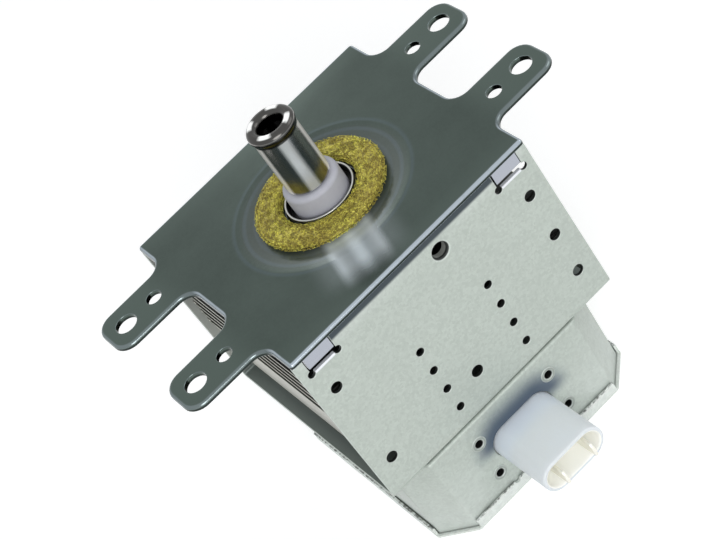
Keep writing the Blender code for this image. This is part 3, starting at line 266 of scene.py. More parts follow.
def rounded_outline(corners, steps=8):
    """Points of a closed outline. A corner is (x, y), or (x, y, radius) where it is rounded."""
    points = []
    for index, corner in enumerate(corners):
        here = Vector(corner[:2])
        if len(corner) == 2:
            points.append(here)
            continue
        before = (Vector(corners[index - 1][:2]) - here).normalized()
        after = (Vector(corners[(index + 1) % len(corners)][:2]) - here).normalized()
        half = before.angle(after) / 2
        centre = here + (before + after).normalized() * corner[2] / math.sin(half)
        start = here + before * corner[2] / math.tan(half) - centre
        end = here + after * corner[2] / math.tan(half) - centre
        turn = math.atan2(start.x * end.y - start.y * end.x, start.dot(end))
        first = math.atan2(start.y, start.x)
        for step in range(steps + 1):
            angle = first + turn * step / steps
            points.append(centre + Vector((math.cos(angle), math.sin(angle))) * corner[2])
    return points


def obround(length, height, steps, centre):
    """A slot shape whose ends are half circles."""
    x, y = centre
    signs = ((1, 1), (-1, 1), (-1, -1), (1, -1))
    corners = [(x + i * length / 2, y + j * height / 2, height / 2 - 1e-3) for i, j in signs]
    return rounded_outline(corners, steps)


def circle(radius, steps, centre=(0.0, 0.0)):
    turns = [math.tau * step / steps for step in range(steps)]
    return [Vector((centre[0] + radius * math.cos(t), centre[1] + radius * math.sin(t))) for t in turns]


def arc(centre, radius, start, end, steps):
    """Points on an arc, with its angles in degrees."""
    angles = [math.radians(start + (end - start) * step / steps) for step in range(steps + 1)]
    return [(centre[0] + radius * math.cos(a), centre[1] + radius * math.sin(a)) for a in angles]


def moved_in(points, distance):
    """An outline, in either direction of travel, moved to its inner side by a distance."""
    area = sum(a.x * b.y - a.y * b.x for a, b in zip(points, points[1:] + points[:1]))
    side = 1 if area > 0 else -1
    moved = []
    for index, here in enumerate(points):
        first = (here - points[index - 1]).normalized()
        second = (points[(index + 1) % len(points)] - here).normalized()
        edge_normal = Vector((-first.y, first.x)) * side
        normal = (Vector((-first.y - second.y, first.x + second.x)) * side).normalized()
        moved.append(here + normal * distance / max(normal.dot(edge_normal), 0.4))
    return moved


def cut_edge(points, low, high, rounding, hole=False, steps=3, upper=None):
    """Rings of points up a cut edge whose two rims are rounded, the upper one maybe more."""
    side = -1 if hole else 1
    upper = upper or rounding
    section = arc((rounding, low + rounding), rounding, 270, 180, steps)
    section += arc((upper, high - upper), upper, 180, 90, steps)
    return [(moved_in(points, side * inset), height) for inset, height in section]


# Meshes


def mark_worn(work):
    """Marks the points of small rounded edges, where a finish wears first."""
    layer = work.verts.layers.float.get("worn") or work.verts.layers.float.new("worn")
    work.normal_update()
    for vertex in work.verts:
        turns = [edge.calc_face_angle(0.0) for edge in vertex.link_edges]
        vertex[layer] = float(WORN_ANGLES[0] < max(turns, default=0.0) < WORN_ANGLES[1])


def shade_mesh(mesh):
    """Smooth shading that stops at sharp edges."""
    mesh.shade_smooth()
    mesh.set_sharp_from_angle(angle=SHARP_ANGLE)


def finished_mesh(name, work):
    """A mesh in metres from a bmesh in millimetres, with its normals outwards and its edges marked."""
    bmesh.ops.recalc_face_normals(work, faces=work.faces)
    mark_worn(work)
    work.transform(Matrix.Scale(MM, 4))
    mesh = bpy.data.meshes.new(name)
    work.to_mesh(mesh)
    work.free()
    shade_mesh(mesh)
    return mesh


def closed_shell(groups, creases=()):
    """A bmesh of a sheet or a moulding: groups of rings from its lower face to its upper one.

    Each ring is (points, height). The first rings of all groups bound the lower face, and the last
    rings the upper one. A crease is (point, normal) of a plane that the faces are split along.
    """
    work = bmesh.new()
    floor, roof = [], []
    for rings in groups:
        loops = [[work.verts.new((p[0], p[1], height)) for p in points] for points, height in rings]
        for lower, upper in zip(loops, loops[1:]):
            for i in range(len(lower)):
                work.faces.new((lower[i - 1], lower[i], upper[i], upper[i - 1]))
        for loop, edges in ((loops[0], floor), (loops[-1], roof)):
            edges += [work.edges.get((loop[i - 1], loop[i])) for i in range(len(loop))]
    for edges, up in ((floor, -1), (roof, 1)):
        bmesh.ops.triangle_fill(work, use_beauty=True, edges=edges, normal=(0, 0, up))
    for point, normal in creases:
        geometry = work.verts[:] + work.edges[:] + work.faces[:]
        bmesh.ops.bisect_plane(work, geom=geometry, dist=1e-4, plane_co=point, plane_no=normal)
    return work


def turned_shell(profile, steps, closed=True):
    """A bmesh of a turned part, from its (radius, height) profile."""
    work = bmesh.new()
    loops = []
    for radius, height in profile:
        if radius < 1e-6:
            loops.append([work.verts.new((0, 0, height))] * steps)
        else:
            loops.append([work.verts.new((p.x, p.y, height)) for p in circle(radius, steps)])
    pairs = list(zip(loops, loops[1:]))
    if closed:
        pairs.append((loops[-1], loops[0]))
    for lower, upper in pairs:
        for i in range(steps):
            corners = list(dict.fromkeys((lower[i - 1], lower[i], upper[i], upper[i - 1])))
            work.faces.new(corners)
    return work


def linked(name, data):
    """A new object in the scene."""
    item = bpy.data.objects.new(name, data)
    bpy.context.scene.collection.objects.link(item)
    return item


def discard(item):
    """Removes a helper object and its mesh."""
    mesh = item.data
    bpy.data.objects.remove(item)
    bpy.data.meshes.remove(mesh)


def shaped_piece(name, work, finish):
    """A piece from a bmesh in millimetres, in the named finish."""
    piece = linked(name, finished_mesh(name, work))
    piece.data.materials.append(finish_of(finish))
    return piece


def settle(piece):
    """Turns the piece, with its modifiers, into a plain mesh that it keeps."""
    view = bpy.context.evaluated_depsgraph_get()
    made = bpy.data.meshes.new_from_object(piece.evaluated_get(view))
    piece.modifiers.clear()
    old = piece.data
    piece.data = made
    made.name = piece.name
    if old.users == 0:
        bpy.data.meshes.remove(old)
    return piece


def even_shading(piece):
    """Lets the large flat faces rule the shading next to small rounded edges."""
    weighted = piece.modifiers.new("even shading", "WEIGHTED_NORMAL")
    weighted.mode = "FACE_AREA"
    weighted.weight = 50
    weighted.keep_sharp = True
    return settle(piece)


def combine(piece, shapes, operation):
    """Cuts shapes, given as bmeshes in millimetres, out of a piece, or joins them to it."""
    tools = [linked("tool", finished_mesh("tool", work)) for work in shapes]
    for tool in tools:
        step = piece.modifiers.new(tool.name, "BOOLEAN")
        step.operation = operation
        step.solver = "EXACT"
        step.object = tool
    settle(piece)
    for tool in tools:
        discard(tool)
    work = bmesh.new()
    work.from_mesh(piece.data)
    bmesh.ops.remove_doubles(work, verts=work.verts, dist=1e-7)
    mark_worn(work)
    work.to_mesh(piece.data)
    work.free()
    shade_mesh(piece.data)
    return piece


def add_mesh(piece, mesh, material):
    """Adds the mesh to the piece, in a material of its own, and removes it."""
    work = bmesh.new()
    work.from_mesh(piece.data)
    before = len(work.faces)
    work.from_mesh(mesh)
    work.faces.ensure_lookup_table()
    for face in work.faces[before:]:
        face.material_index = len(piece.data.materials)
    work.to_mesh(piece.data)
    work.free()
    piece.data.materials.append(material)
    bpy.data.meshes.remove(mesh)


def take_away(piece, shapes):
    return combine(piece, shapes, "DIFFERENCE")


def join_shapes(piece, shapes):
    return combine(piece, shapes, "UNION")


def stands_for(piece, slot, *nodes):
    """Sets the piece on the body in place of the solids that it stands for."""
    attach(piece, "root")
    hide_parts(*nodes)


def block(low, high):
    work = bmesh.new()
    size = Vector(high) - Vector(low)
    middle = Matrix.Translation((Vector(high) + Vector(low)) / 2)
    bmesh.ops.create_cube(work, size=1, matrix=middle @ Matrix.Diagonal((*size, 1)))
    return work


def along_y(start):
    """A frame whose plane is XZ, and whose height runs along -Y from the given Y."""
    turn = Matrix(((1, 0, 0), (0, 0, -1), (0, 1, 0))).to_4x4()
    return Matrix.Translation((0, start, 0)) @ turn


def along_x(start):
    """A frame whose plane is YZ, and whose height runs along +X from the given X."""
    turn = Matrix(((0, 0, 1), (1, 0, 0), (0, 1, 0))).to_4x4()
    return Matrix.Translation((start, 0, 0)) @ turn


# Geometry node trees


class NodeTree:
    """A node tree under construction: adds nodes, sets their sockets and links them."""

    def __init__(self, tree):
        self.tree = tree

    def add(self, kind, sockets=None, **settings):
        node = self.tree.nodes.new(kind)
        for name, value in settings.items():
            setattr(node, name, value)
        for key, value in (sockets or {}).items():
            self.put(node.inputs[key], value)
        return node

    def put(self, socket, value):
        if isinstance(value, bpy.types.NodeSocket):
            self.tree.links.new(value, socket)
        elif isinstance(value, bpy.types.Node):
            self.tree.links.new(value.outputs[0], socket)
        else:
            socket.default_value = value

    def maths(self, operation, *values):
        node = self.add("ShaderNodeMath", operation=operation)
        for socket, value in zip(node.inputs, values):
            self.put(socket, value)
        return node.outputs[0]

    def vector_maths(self, operation, *values):
        node = self.add("ShaderNodeVectorMath", operation=operation)
        for socket, value in zip(node.inputs, values):
            self.put(socket, value)
        return node.outputs[0]

    def product(self, first, *others):
        for other in others:
            first = self.maths("MULTIPLY", first, other)
        return first

    def absolute(self, value):
        return self.maths("ABSOLUTE", value)

    def length(self, x, y):
        """The length of the vector (x, y)."""
        vector = self.add("ShaderNodeCombineXYZ", {"X": x, "Y": y})
        return self.vector_maths("LENGTH", vector).node.outputs["Value"]

    def between(self, value, low, high):
        """The low value where the value is 0, and the high one where it is 1."""
        node = self.add("ShaderNodeMapRange", {"Value": value, "To Min": low, "To Max": high})
        return node.outputs[0]

    def noise(self, vector, size, detail, roughness=0.5):
        """Noise whose features are about as wide as the size."""
        scale = self.maths("DIVIDE", 1.0, size)
        sockets = {"Vector": vector, "Scale": scale, "Detail": detail, "Roughness": roughness}
        return self.add("ShaderNodeTexNoise", sockets).outputs[0]


SOCKET_KINDS = {
    float: "NodeSocketFloat", int: "NodeSocketInt", tuple: "NodeSocketVector",
    type(None): "NodeSocketObject",
}


def add_inputs(tree, inputs):
    """Gives a tree its named input sockets, each of the kind of its default."""
    for label, default in inputs.items():
        socket = tree.interface.new_socket(label, in_out="INPUT", socket_type=SOCKET_KINDS[type(default)])
        if default is not None:
            socket.default_value = default


def ends_of(tree):
    """The tree under construction, its input node's sockets and its output node."""
    made = NodeTree(tree)
    return made, made.add("NodeGroupInput").outputs, made.add("NodeGroupOutput")


def geometry_tree(name, inputs):
    """A Geometry Nodes tree with named inputs."""
    tree = bpy.data.node_groups.new(name, "GeometryNodeTree")
    tree.interface.new_socket("Geometry", in_out="INPUT", socket_type="NodeSocketGeometry")
    add_inputs(tree, inputs)
    tree.interface.new_socket("Geometry", in_out="OUTPUT", socket_type="NodeSocketGeometry")
    return ends_of(tree)


def make_real(made, out, copies, material):
    """Ends a tree: its copies become real and get their material."""
    real = made.add("GeometryNodeRealizeInstances", {"Geometry": copies})
    made.put(out.inputs[0], made.add("GeometryNodeSetMaterial", {"Geometry": real, "Material": material}))
    return made.tree


def grown_by(piece, tree, values):
    """Runs a Geometry Nodes tree on the piece with the given inputs, and keeps the plain mesh."""
    modifier = piece.modifiers.new(tree.name, "NODES")
    modifier.node_group = tree
    for item in tree.interface.items_tree:
        if item.item_type == "SOCKET" and item.in_out == "INPUT" and item.name in values:
            modifier[item.identifier] = values[item.name]
    piece.update_tag()
    return settle(piece)


def repeat_tree(material):
    """Copies a shape upwards a number of times, one pitch apart."""
    made, given, out = geometry_tree("repeat_upwards", {"Count": 1, "Pitch": 0.001})
    step = made.add("ShaderNodeCombineXYZ", {"Z": given["Pitch"]})
    line = made.add("GeometryNodeMeshLine", {"Count": given["Count"], "Offset": step}, mode="OFFSET")
    copies = made.add("GeometryNodeInstanceOnPoints", {"Points": line, "Instance": given["Geometry"]})
    return make_real(made, out, copies, material)


def rivet_tree(material):
    """Sets a rivet at each corner of a grid, two by two."""
    made, given, out = geometry_tree("rivets_on_grid", {
        "Pitch X": 0.02, "Pitch Z": 0.01, "Centre": (0.0, 0.0, 0.0),
    })
    grid = made.add("GeometryNodeMeshGrid", {
        "Size X": given["Pitch X"], "Size Y": given["Pitch Z"], "Vertices X": 2, "Vertices Y": 2,
    })
    upright = made.add("GeometryNodeTransform", {
        "Geometry": grid, "Translation": given["Centre"], "Rotation": (math.pi / 2, 0, 0),
    })
    copies = made.add("GeometryNodeInstanceOnPoints", {"Points": upright, "Instance": given["Geometry"]})
    return make_real(made, out, copies, material)


def knit_tree(material):
    """Covers a ring with stitches of wire, each turned a little out of line."""
    made, given, out = geometry_tree("knitted_wire", {
        "Stitch": None, "Wire radius": 0.0001, "Disorder": 0.3, "Seed": 4,
    })
    shape = made.add("GeometryNodeObjectInfo", {"Object": given["Stitch"]})
    path = made.add("GeometryNodeMeshToCurve", {"Mesh": shape.outputs["Geometry"]})
    section = made.add("GeometryNodeCurvePrimitiveCircle", {
        "Resolution": WIRE_SIDES, "Radius": given["Wire radius"],
    })
    wire = made.add("GeometryNodeCurveToMesh", {"Curve": path, "Profile Curve": section, "Fill Caps": True})
    around, outwards = (
        made.add("GeometryNodeInputNamedAttribute", {"Name": name}, data_type="FLOAT_VECTOR")
        for name in (AROUND, OUTWARDS)
    )
    facing = made.add("FunctionNodeAlignRotationToVector", {"Vector": outwards}, axis="Z")
    aligned = made.add(
        "FunctionNodeAlignRotationToVector", {"Rotation": facing, "Vector": around}, axis="X", pivot_axis="Z"
    )
    most = made.add("ShaderNodeCombineXYZ", {axis: given["Disorder"] for axis in "XYZ"})
    least = made.vector_maths("SCALE", most)
    least.node.inputs["Scale"].default_value = -1
    wobble = made.add("FunctionNodeRandomValue", {
        "Min": least, "Max": most, "Seed": given["Seed"],
    }, data_type="FLOAT_VECTOR")
    tilt = made.add("FunctionNodeEulerToRotation", {"Euler": wobble.outputs[0]})
    turn = made.add(
        "FunctionNodeRotateRotation", {"Rotation": aligned, "Rotate By": tilt}, rotation_space="LOCAL"
    )
    stitches = made.add("GeometryNodeInstanceOnPoints", {
        "Points": given["Geometry"], "Instance": wire, "Rotation": turn,
    })
    return make_real(made, out, stitches, material)


# Finishes


def shader_group(name, inputs, outputs):
    """A shader node group with a place, named inputs and named outputs."""
    tree = bpy.data.node_groups.new(name, "ShaderNodeTree")
    add_inputs(tree, {"Vector": (0.0, 0.0, 0.0), **inputs})
    for label in outputs:
        tree.interface.new_socket(label, in_out="OUTPUT", socket_type="NodeSocketFloat")
    return ends_of(tree)


def speckle_group():
    """Fine crystals of a zinc coat: small cells, each a little lighter or darker, under fine grain."""
    made, given, out = shader_group(
        "zinc_speckle", {"Cell size": 0.0012, "Grain size": 0.0003}, ("Value", "Height")
    )
    cells = made.add("ShaderNodeTexVoronoi", {
        "Vector": given["Vector"], "Scale": made.maths("DIVIDE", 1.0, given["Cell size"]), "Randomness": 1.0,
    })
    tone = made.add("ShaderNodeSeparateColor", {"Color": cells.outputs["Color"]})
    grain = made.noise(given["Vector"], given["Grain size"], 3.0, 0.6)
    both = made.maths("MULTIPLY_ADD", tone.outputs[0], 0.45, made.product(grain, 0.55))
    made.put(out.inputs["Value"], both)
    made.put(out.inputs["Height"], grain)


def clouds_group():
    """Soft wide patches, as in a worn or stained coat."""
    made, given, out = shader_group("soft_clouds", {"Size": 0.02, "Contrast": 2.0}, ("Value",))
    centred = made.maths("SUBTRACT", made.noise(given["Vector"], given["Size"], 5.0, 0.55), 0.5)
    spread = made.maths("MULTIPLY_ADD", centred, given["Contrast"], 0.5)
    spread.node.use_clamp = True
    made.put(out.inputs["Value"], spread)


def grain_group():
    """Long fine lines that rolling, brushing or turning leaves along one direction."""
    made, given, out = shader_group(
        "drawn_grain", {"Stretch": (1.0, 1.0, 1.0), "Line width": 0.0002}, ("Value",)
    )
    stretched = made.vector_maths("MULTIPLY", given["Vector"], given["Stretch"])
    made.put(out.inputs["Value"], made.noise(stretched, given["Line width"], 2.0))


def wear_group():
    """Where a coat is rubbed: marked edges, broken up by patches."""
    made, given, out = shader_group(
        "edge_wear", {"Worn": 0.0, "Patch size": 0.003, "Amount": 0.6}, ("Mask",)
    )
    share = made.maths("MULTIPLY_ADD", made.noise(given["Vector"], given["Patch size"], 4.0), 0.8, 0.3)
    mask = made.product(given["Worn"], share, given["Amount"])
    mask.node.use_clamp = True
    made.put(out.inputs["Mask"], mask)


class Finish(NodeTree):
    """A material under construction, with the nodes that every finish starts from."""

    def __init__(self, name, metallic, roughness):
        self.material = bpy.data.materials.new(name)
        self.material.use_nodes = True
        super().__init__(self.material.node_tree)
        self.shader = self.tree.nodes["Principled BSDF"]
        self.shader.inputs["Metallic"].default_value = metallic
        self.shader.inputs["Roughness"].default_value = roughness
        self.place = self.add("ShaderNodeTexCoord").outputs["Object"]

    def group(self, name, sockets):
        """The outputs of a node group that starts from the place on the piece."""
        tree = bpy.data.node_groups[name]
        return self.add("ShaderNodeGroup", {"Vector": self.place, **sockets}, node_tree=tree).outputs

    def speckle(self, cell, grain):
        return self.group("zinc_speckle", {"Cell size": cell * MM, "Grain size": grain * MM})

    def clouds(self, size, contrast):
        return self.group("soft_clouds", {"Size": size * MM, "Contrast": contrast})[0]

    def grain(self, stretch, width):
        return self.group("drawn_grain", {"Stretch": stretch, "Line width": width * MM})[0]

    def wear(self, amount):
        worn = self.add("ShaderNodeAttribute", attribute_name="worn").outputs["Fac"]
        return self.group("edge_wear", {"Worn": worn, "Amount": amount})[0]

    def blend(self, share, first, second):
        """The first colour where the share is 0, and the second where it is 1."""
        node = self.add("ShaderNodeMix", data_type="RGBA")
        self.put(node.inputs[0], share)
        for socket, value in ((node.inputs[6], first), (node.inputs[7], second)):
            self.put(socket, value if isinstance(value, bpy.types.NodeSocket) else (*value[:3], 1))
        return node.outputs[2]

    def axes(self):
        """The place's own X, Y and Z."""
        return self.add("ShaderNodeSeparateXYZ", {"Vector": self.place}).outputs

    def ramp(self, value, start, end):
        """0 before the start and 1 after the end, both in millimetres."""
        flip = start > end
        low, high = sorted((start, end))
        node = self.add("ShaderNodeMapRange", {
            "Value": value, "From Min": low * MM, "From Max": high * MM,
            "To Min": float(flip), "To Max": float(not flip),
        }, interpolation_type="SMOOTHSTEP")
        return node.outputs[0]

    def above(self, value, least, most):
        """0 where the value is under the least, and 1 where it is over the most."""
        sockets = {"Value": value, "From Min": least, "From Max": most}
        return self.add("ShaderNodeMapRange", sockets).outputs[0]

    def layered(self, base, *layers):
        """The base under layers of (share, colour)."""
        for share, colour in layers:
            base = self.blend(share, base, colour)
        return base

    def colour(self, value):
        self.put(self.shader.inputs["Base Color"], value)

    def metal(self, value):
        self.put(self.shader.inputs["Metallic"], value)

    def done(self, base, polish, least, most, height, depth):
        """The material, with its colour, its roughness between two values, and bumps of a depth."""
        self.colour(base)
        self.put(self.shader.inputs["Roughness"], self.between(polish, least, most))
        bumps = self.add("ShaderNodeBump", {"Height": height, "Distance": depth * MM, "Strength": 1.0})
        self.put(self.shader.inputs["Normal"], bumps)
        return self.material


def tinted(colour, amount):
    """The colour, lighter or darker by a share."""
    return tuple(min(1.0, value * (1 + amount)) for value in colour[:3])


def plate_finish(colour):
    """Dark plated sheet steel: faint clouds and pressed rings, a worn edge with a painted highlight and
    painted shade under it, tabs painted paler as if lit from the front, and a painted reflection of the cap.
    """
    made = Finish("plated_sheet", 1.0, 0.2)
    clouds = made.clouds(16, 1.6)
    fine = made.speckle(0.6, 0.3)["Value"]
    lines = made.grain((0.05, 1, 1), 0.35)
    x, y, z = made.axes()
    along, across = made.absolute(x), made.absolute(y)
    distance = made.length(x, y)
    rings = made.maths("SINE", made.product(distance, 1 / (0.5 * MM)))
    dish = made.product(made.ramp(distance, 18.5, 20.5), made.ramp(distance, 27.5, 25.0))
    streak = painted_cap_reflection(made, x, y)
    edge = made.between(made.ramp(along, PLATE_LENGTH / 2 + 0.5, PLATE_LENGTH / 2 - 1), 0.25, 1.0)
    under = PLATE_TOP - PLATE_THICKNESS
    base = made.layered(
        made.blend(clouds, tinted(colour, -0.14), tinted(colour, 0.14)),
        (made.between(fine, 0.0, 0.35), tinted(colour, 0.6)),
        (made.product(dish, made.between(rings, 0.0, 0.12)), DISH_LINES),
        (made.ramp(across, 30.0, 39.0), tinted(colour, 0.3)),
        (made.ramp(along, 38.0, 50.0), tinted(colour, 0.45)),
        # painted reflection of the antenna cap
        (streak, PAINTED_PALE_REFLECTION),
        # painted shade on the lower cut edge and the underside
        (made.ramp(z, PLATE_TOP - 0.7, PLATE_TOP - 0.9), tinted(colour, -0.45)),
        # painted light: the tabs paler than the plate
        (made.ramp(z, under - 0.02, under - 0.06), PAINTED_TAB_LIGHT),
        # worn edges, painted bright as a highlight, less on the ears
        (made.product(made.wear(1.6), edge), WORN_EDGE_HIGHLIGHT),
    )
    matt_ring = made.between(made.ramp(distance, 26.0, 21.0), 1.0, 0.35)
    made.metal(made.product(matt_ring, made.between(streak, 1.0, 0.1)))
    polish = made.maths("MULTIPLY_ADD", lines, 0.5, made.product(clouds, 0.5))
    return made.done(base, polish, 0.16, 0.26, made.maths("MULTIPLY_ADD", fine, 0.5, lines), 0.006)


def painted_cap_reflection(made, x, y):
    """A painted reflection of the antenna cap, made matt, from the gasket to the plate's near edge: pale in
    its middle and along its sides.
    """
    turn = math.radians(STREAK_ANGLE)
    along = made.maths("MULTIPLY_ADD", x, math.cos(turn), made.product(y, math.sin(turn)))
    across = made.absolute(made.maths("MULTIPLY_ADD", x, -math.sin(turn), made.product(y, math.cos(turn))))
    core = made.ramp(across, STREAK_HALF_WIDTH + 1.4, STREAK_HALF_WIDTH - 1.4)
    share = 0.0
    for part, strength in (
        (core, 0.44),
        (made.ramp(across, 2.8, 0.2), 0.24),
        (made.product(made.ramp(across, 3.6, 5.4), core), 0.05),
        (made.ramp(across, 15.0, STREAK_HALF_WIDTH), 0.10),
    ):
        share = made.maths("MULTIPLY_ADD", part, strength, share)
    return made.product(share, made.ramp(along, 4.0, 8.0), made.ramp(along, 38.5, 29.0))


def folded_shade(made, base):
    """Painted shade on the yoke's inner faces, on the walls of its holes and under the plate, and painted
    light on the ledges of the notches.
    """
    x, y, z = made.axes()
    along = made.absolute(x)
    out_y = made.maths("SUBTRACT", made.absolute(y), (YOKE_HALF_WIDTH - YOKE_BEND) * MM)
    out_z = made.maths("SUBTRACT", (YOKE_BOTTOM + YOKE_BEND) * MM, z)
    depth = made.length(*(made.maths("MAXIMUM", value, 0.0) for value in (out_y, out_z)))
    inner_radius = YOKE_BEND - YOKE_THICKNESS
    inner_face = made.ramp(depth, inner_radius + 0.15, inner_radius + 0.05)
    wall = made.ramp(z, YOKE_BOTTOM + YOKE_BEND, YOKE_BOTTOM + YOKE_BEND + 1)
    # painted shade: darkest on the holes' walls, then the inner floor, then the inner walls
    dark = made.blend(inner_face, HOLE_WALL_SHADE, made.blend(wall, YOKE_FLOOR_SHADE, YOKE_WALL_SHADE))
    from_tab = made.absolute(made.maths("SUBTRACT", along, TAB_X * MM))
    # painted light on the ledge of each notch under a tab
    ledge = made.product(made.ramp(from_tab, 3.4, 3.2), made.ramp(z, NOTCH_FLOOR - 0.8, NOTCH_FLOOR - 0.5))
    behind = made.product(
        made.ramp(depth, YOKE_BEND - 0.1, YOKE_BEND - 0.25),
        made.ramp(along, PLATE_LENGTH / 2 - 0.05, PLATE_LENGTH / 2 - 0.2),
        made.maths("SUBTRACT", 1.0, ledge),
    )
    tab_start = TAB_X - TAB_WIDTH / 2
    band = made.product(
        made.ramp(z, YOKE_TOP - 2.4, YOKE_TOP - 1.4), made.ramp(along, tab_start - 0.1, tab_start - 0.7)
    )
    return made.layered(base, (behind, dark), (ledge, PAINTED_LEDGE_LIGHT), (band, UNDER_PLATE))


def from_socket(made, x, z, centre):
    """How far a place lies from the middle line of the socket's slot shape."""
    half = (CONNECTOR_LENGTH - CONNECTOR_HEIGHT) / 2 * MM
    beyond = made.maths("SUBTRACT", made.absolute(made.maths("SUBTRACT", x, centre * MM)), half)
    return made.length(made.maths("MAXIMUM", beyond, 0.0), made.maths("SUBTRACT", z, CONNECTOR_Z * MM))


def socket_shade(made, base):
    """The soft bluish shade on the box over the socket."""
    x, y, z = made.axes()
    near = made.ramp(from_socket(made, x, z, BOX_SHIFT + 0.5), 13.6, 6.2)
    upper = made.ramp(z, CONNECTOR_Z - 2.0, CONNECTOR_Z + 3.0)
    front = made.ramp(y, BOX_FRONT + 0.9, BOX_FRONT + 0.4)
    return made.blend(made.product(near, upper, front), base, OVER_SOCKET)


def rim_shade(made, base):
    """Painted shade of the gap along the top of the lid's rim, broken up into dots."""
    dots = made.between(made.clouds(1.1, 6.0), 0.0, 0.8)
    top = made.ramp(made.axes()["Z"], LID_HEIGHT - 0.25, LID_HEIGHT - 0.1)
    return made.blend(made.product(top, dots), base, GAP_SHADE)


def bore_shade(made, base):
    """The dark bore of a rivet."""
    axes = made.axes()
    off = []
    for value, (low, high) in ((axes["X"], RIVET_XS), (axes["Z"], RIVET_ZS)):
        from_middle = made.absolute(made.maths("SUBTRACT", value, (low + high) / 2 * MM))
        off.append(made.maths("SUBTRACT", from_middle, (high - low) / 2 * MM))
    return made.blend(made.ramp(made.length(*off), RIVET_BORE + 0.15, RIVET_BORE), base, RIVET_INSIDE)


def fin_shade(made, base):
    """Painted shade on the faces of the upper fins, behind their bright cut ends."""
    axes = made.axes()
    behind = made.ramp(made.absolute(axes["X"]), FIN_HALF_LENGTH - 0.1, FIN_HALF_LENGTH - 0.3)
    above = made.ramp(axes["Z"], FIN_FIRST + FIN_THICKNESS, FIN_FIRST + FIN_THICKNESS + 0.3)
    return made.blend(made.product(behind, above), base, BETWEEN_FINS)


def zinc_finish(name, colour, shade=None):
    """Light zinc-coated sheet: fine crystals, rolling lines and dull patches."""
    made = Finish(name, 0.35, 0.45)
    speckle = made.speckle(0.7, 0.3)
    clouds = made.clouds(14, 1.5)
    lines = made.grain((1, 1, 0.06), 0.4)
    base = made.blend(clouds, tinted(colour, -0.05), tinted(colour, 0.05))
    base = made.blend(made.between(speckle["Value"], 0.1, 1.0), tinted(colour, -0.28), base)
    base = made.blend(made.wear(0.45), base, RUBBED_ZINC)
    if shade:
        base = shade(made, base)
    dull = made.maths("MULTIPLY_ADD", clouds, 0.5, made.product(lines, 0.5))
    return made.done(base, dull, 0.40, 0.58, speckle["Height"], 0.02)


def turned_finish(name, colour, low, high, depth=0.006, mouth=None, neck=None, shade=None):
    """Bright turned or drawn metal, with fine lines round it. A bore may get painted shade, and a neck
    brings the cap's painted reflections and shade.
    """
    made = Finish(name, 1.0, low)
    lines = made.grain((0.04, 0.04, 1), 0.12)
    clouds = made.clouds(6, 1.6)
    base = made.layered(
        made.blend(clouds, tinted(colour, -0.10), tinted(colour, 0.06)),
        (made.between(lines, 0.0, 0.35), tinted(colour, -0.25)), (made.wear(0.5), tinted(colour, 0.3)),
    )
    if neck:
        base = banded_cap(made, colour, *neck)
    if mouth:
        radius, height = mouth
        x, y, z = made.axes()
        # painted shade down the bore
        inside = made.ramp(made.length(x, y), radius, radius - 0.15)
        base = made.blend(made.product(inside, made.ramp(z, height, height - 0.5)), base, HOLLOW_SHADE)
    if shade:
        base = shade(made, base)
    return made.done(base, lines, low, high, lines, depth)


def round_wave(made, angle, count, phase):
    """A wave that rises count times in one turn, first at the phase, which is in degrees."""
    return made.maths("COSINE", made.maths("MULTIPLY_ADD", angle, count, math.radians(-count * phase)))


def banded_cap(made, colour, start, end):
    """Painted reflections down the cap in dull pale and dark bands and a dark middle band, painted
    highlights in spots on its rolled rim over painted dark outlines, and painted shade at its neck.
    """
    x, y, height = made.axes()
    angle, radius = made.maths("ARCTAN2", y, x), made.length(x, y)
    # painted reflections: pale and dark bands down the cap, and a dark middle band
    pale = made.above(round_wave(made, angle, 5.0, CAP_BAND_ANGLE), -0.1, 0.7)
    centre = made.above(round_wave(made, angle, 1.0, CAP_BAND_ANGLE), 0.84, 0.93)
    spots = made.above(round_wave(made, angle, 4.0, CAP_SPOT_ANGLE), 0.0, 0.7)
    wall = made.product(pale, made.ramp(height, start, start - 0.3))
    made.metal(made.between(wall, 1.0, 0.2))
    crown = made.product(made.ramp(radius, 4.4, 4.8), made.ramp(radius, 6.2, 5.9))
    # painted highlights in spots on the rim's crown, over painted dark outlines
    rim = made.blend(made.product(spots, crown), tinted(colour, -0.88), CAP_GLINT)
    # painted shade at the neck under the rim
    neck = made.product(made.ramp(height, start - 0.4, start), made.ramp(height, end + 0.3, end))
    return made.layered(
        made.blend(pale, tinted(colour, -0.45), tinted(colour, 0.35)),
        (made.product(centre, 0.6), CAP_CENTRE_REFLECTION), (made.ramp(height, end, end + 0.4), rim),
        (neck, tinted(colour, -0.9)),
    )


def wire_finish(name, colour, dark):
    """Brass wire, bright on top of its loops and tarnished in specks and patches."""
    made = Finish(name, 0.6, 0.35)
    specks = made.clouds(1.3, 7.0)
    fine = made.clouds(0.5, 6.0)
    wide = made.clouds(9, 3.0)
    base = made.layered(
        made.blend(specks, tinted(colour, -0.5), tinted(colour, 0.4)),
        (made.between(fine, 0.0, 0.5), tinted(dark, -0.6)), (made.between(wide, 0.0, 0.5), dark),
    )
    return made.done(base, specks, 0.5, 0.28, specks, 0.01)


def socket_inside(made, base):
    """Painted light inside the socket: a cream colour and a painted glow, as if lit a little through its
    thin wall.
    """
    axes = made.axes()
    wall = CONNECTOR_HEIGHT / 2 - CONNECTOR_WALL
    inside = made.ramp(from_socket(made, axes["X"], axes["Z"], BOX_SHIFT), wall + 0.5, wall + 0.2)
    # a painted glow inside the socket
    made.put(made.shader.inputs["Emission Color"], made.blend(inside, (0.0, 0.0, 0.0), PAINTED_SOCKET_GLOW))
    made.shader.inputs["Emission Strength"].default_value = 1.0
    return made.blend(inside, base, PAINTED_SOCKET_LIGHT)


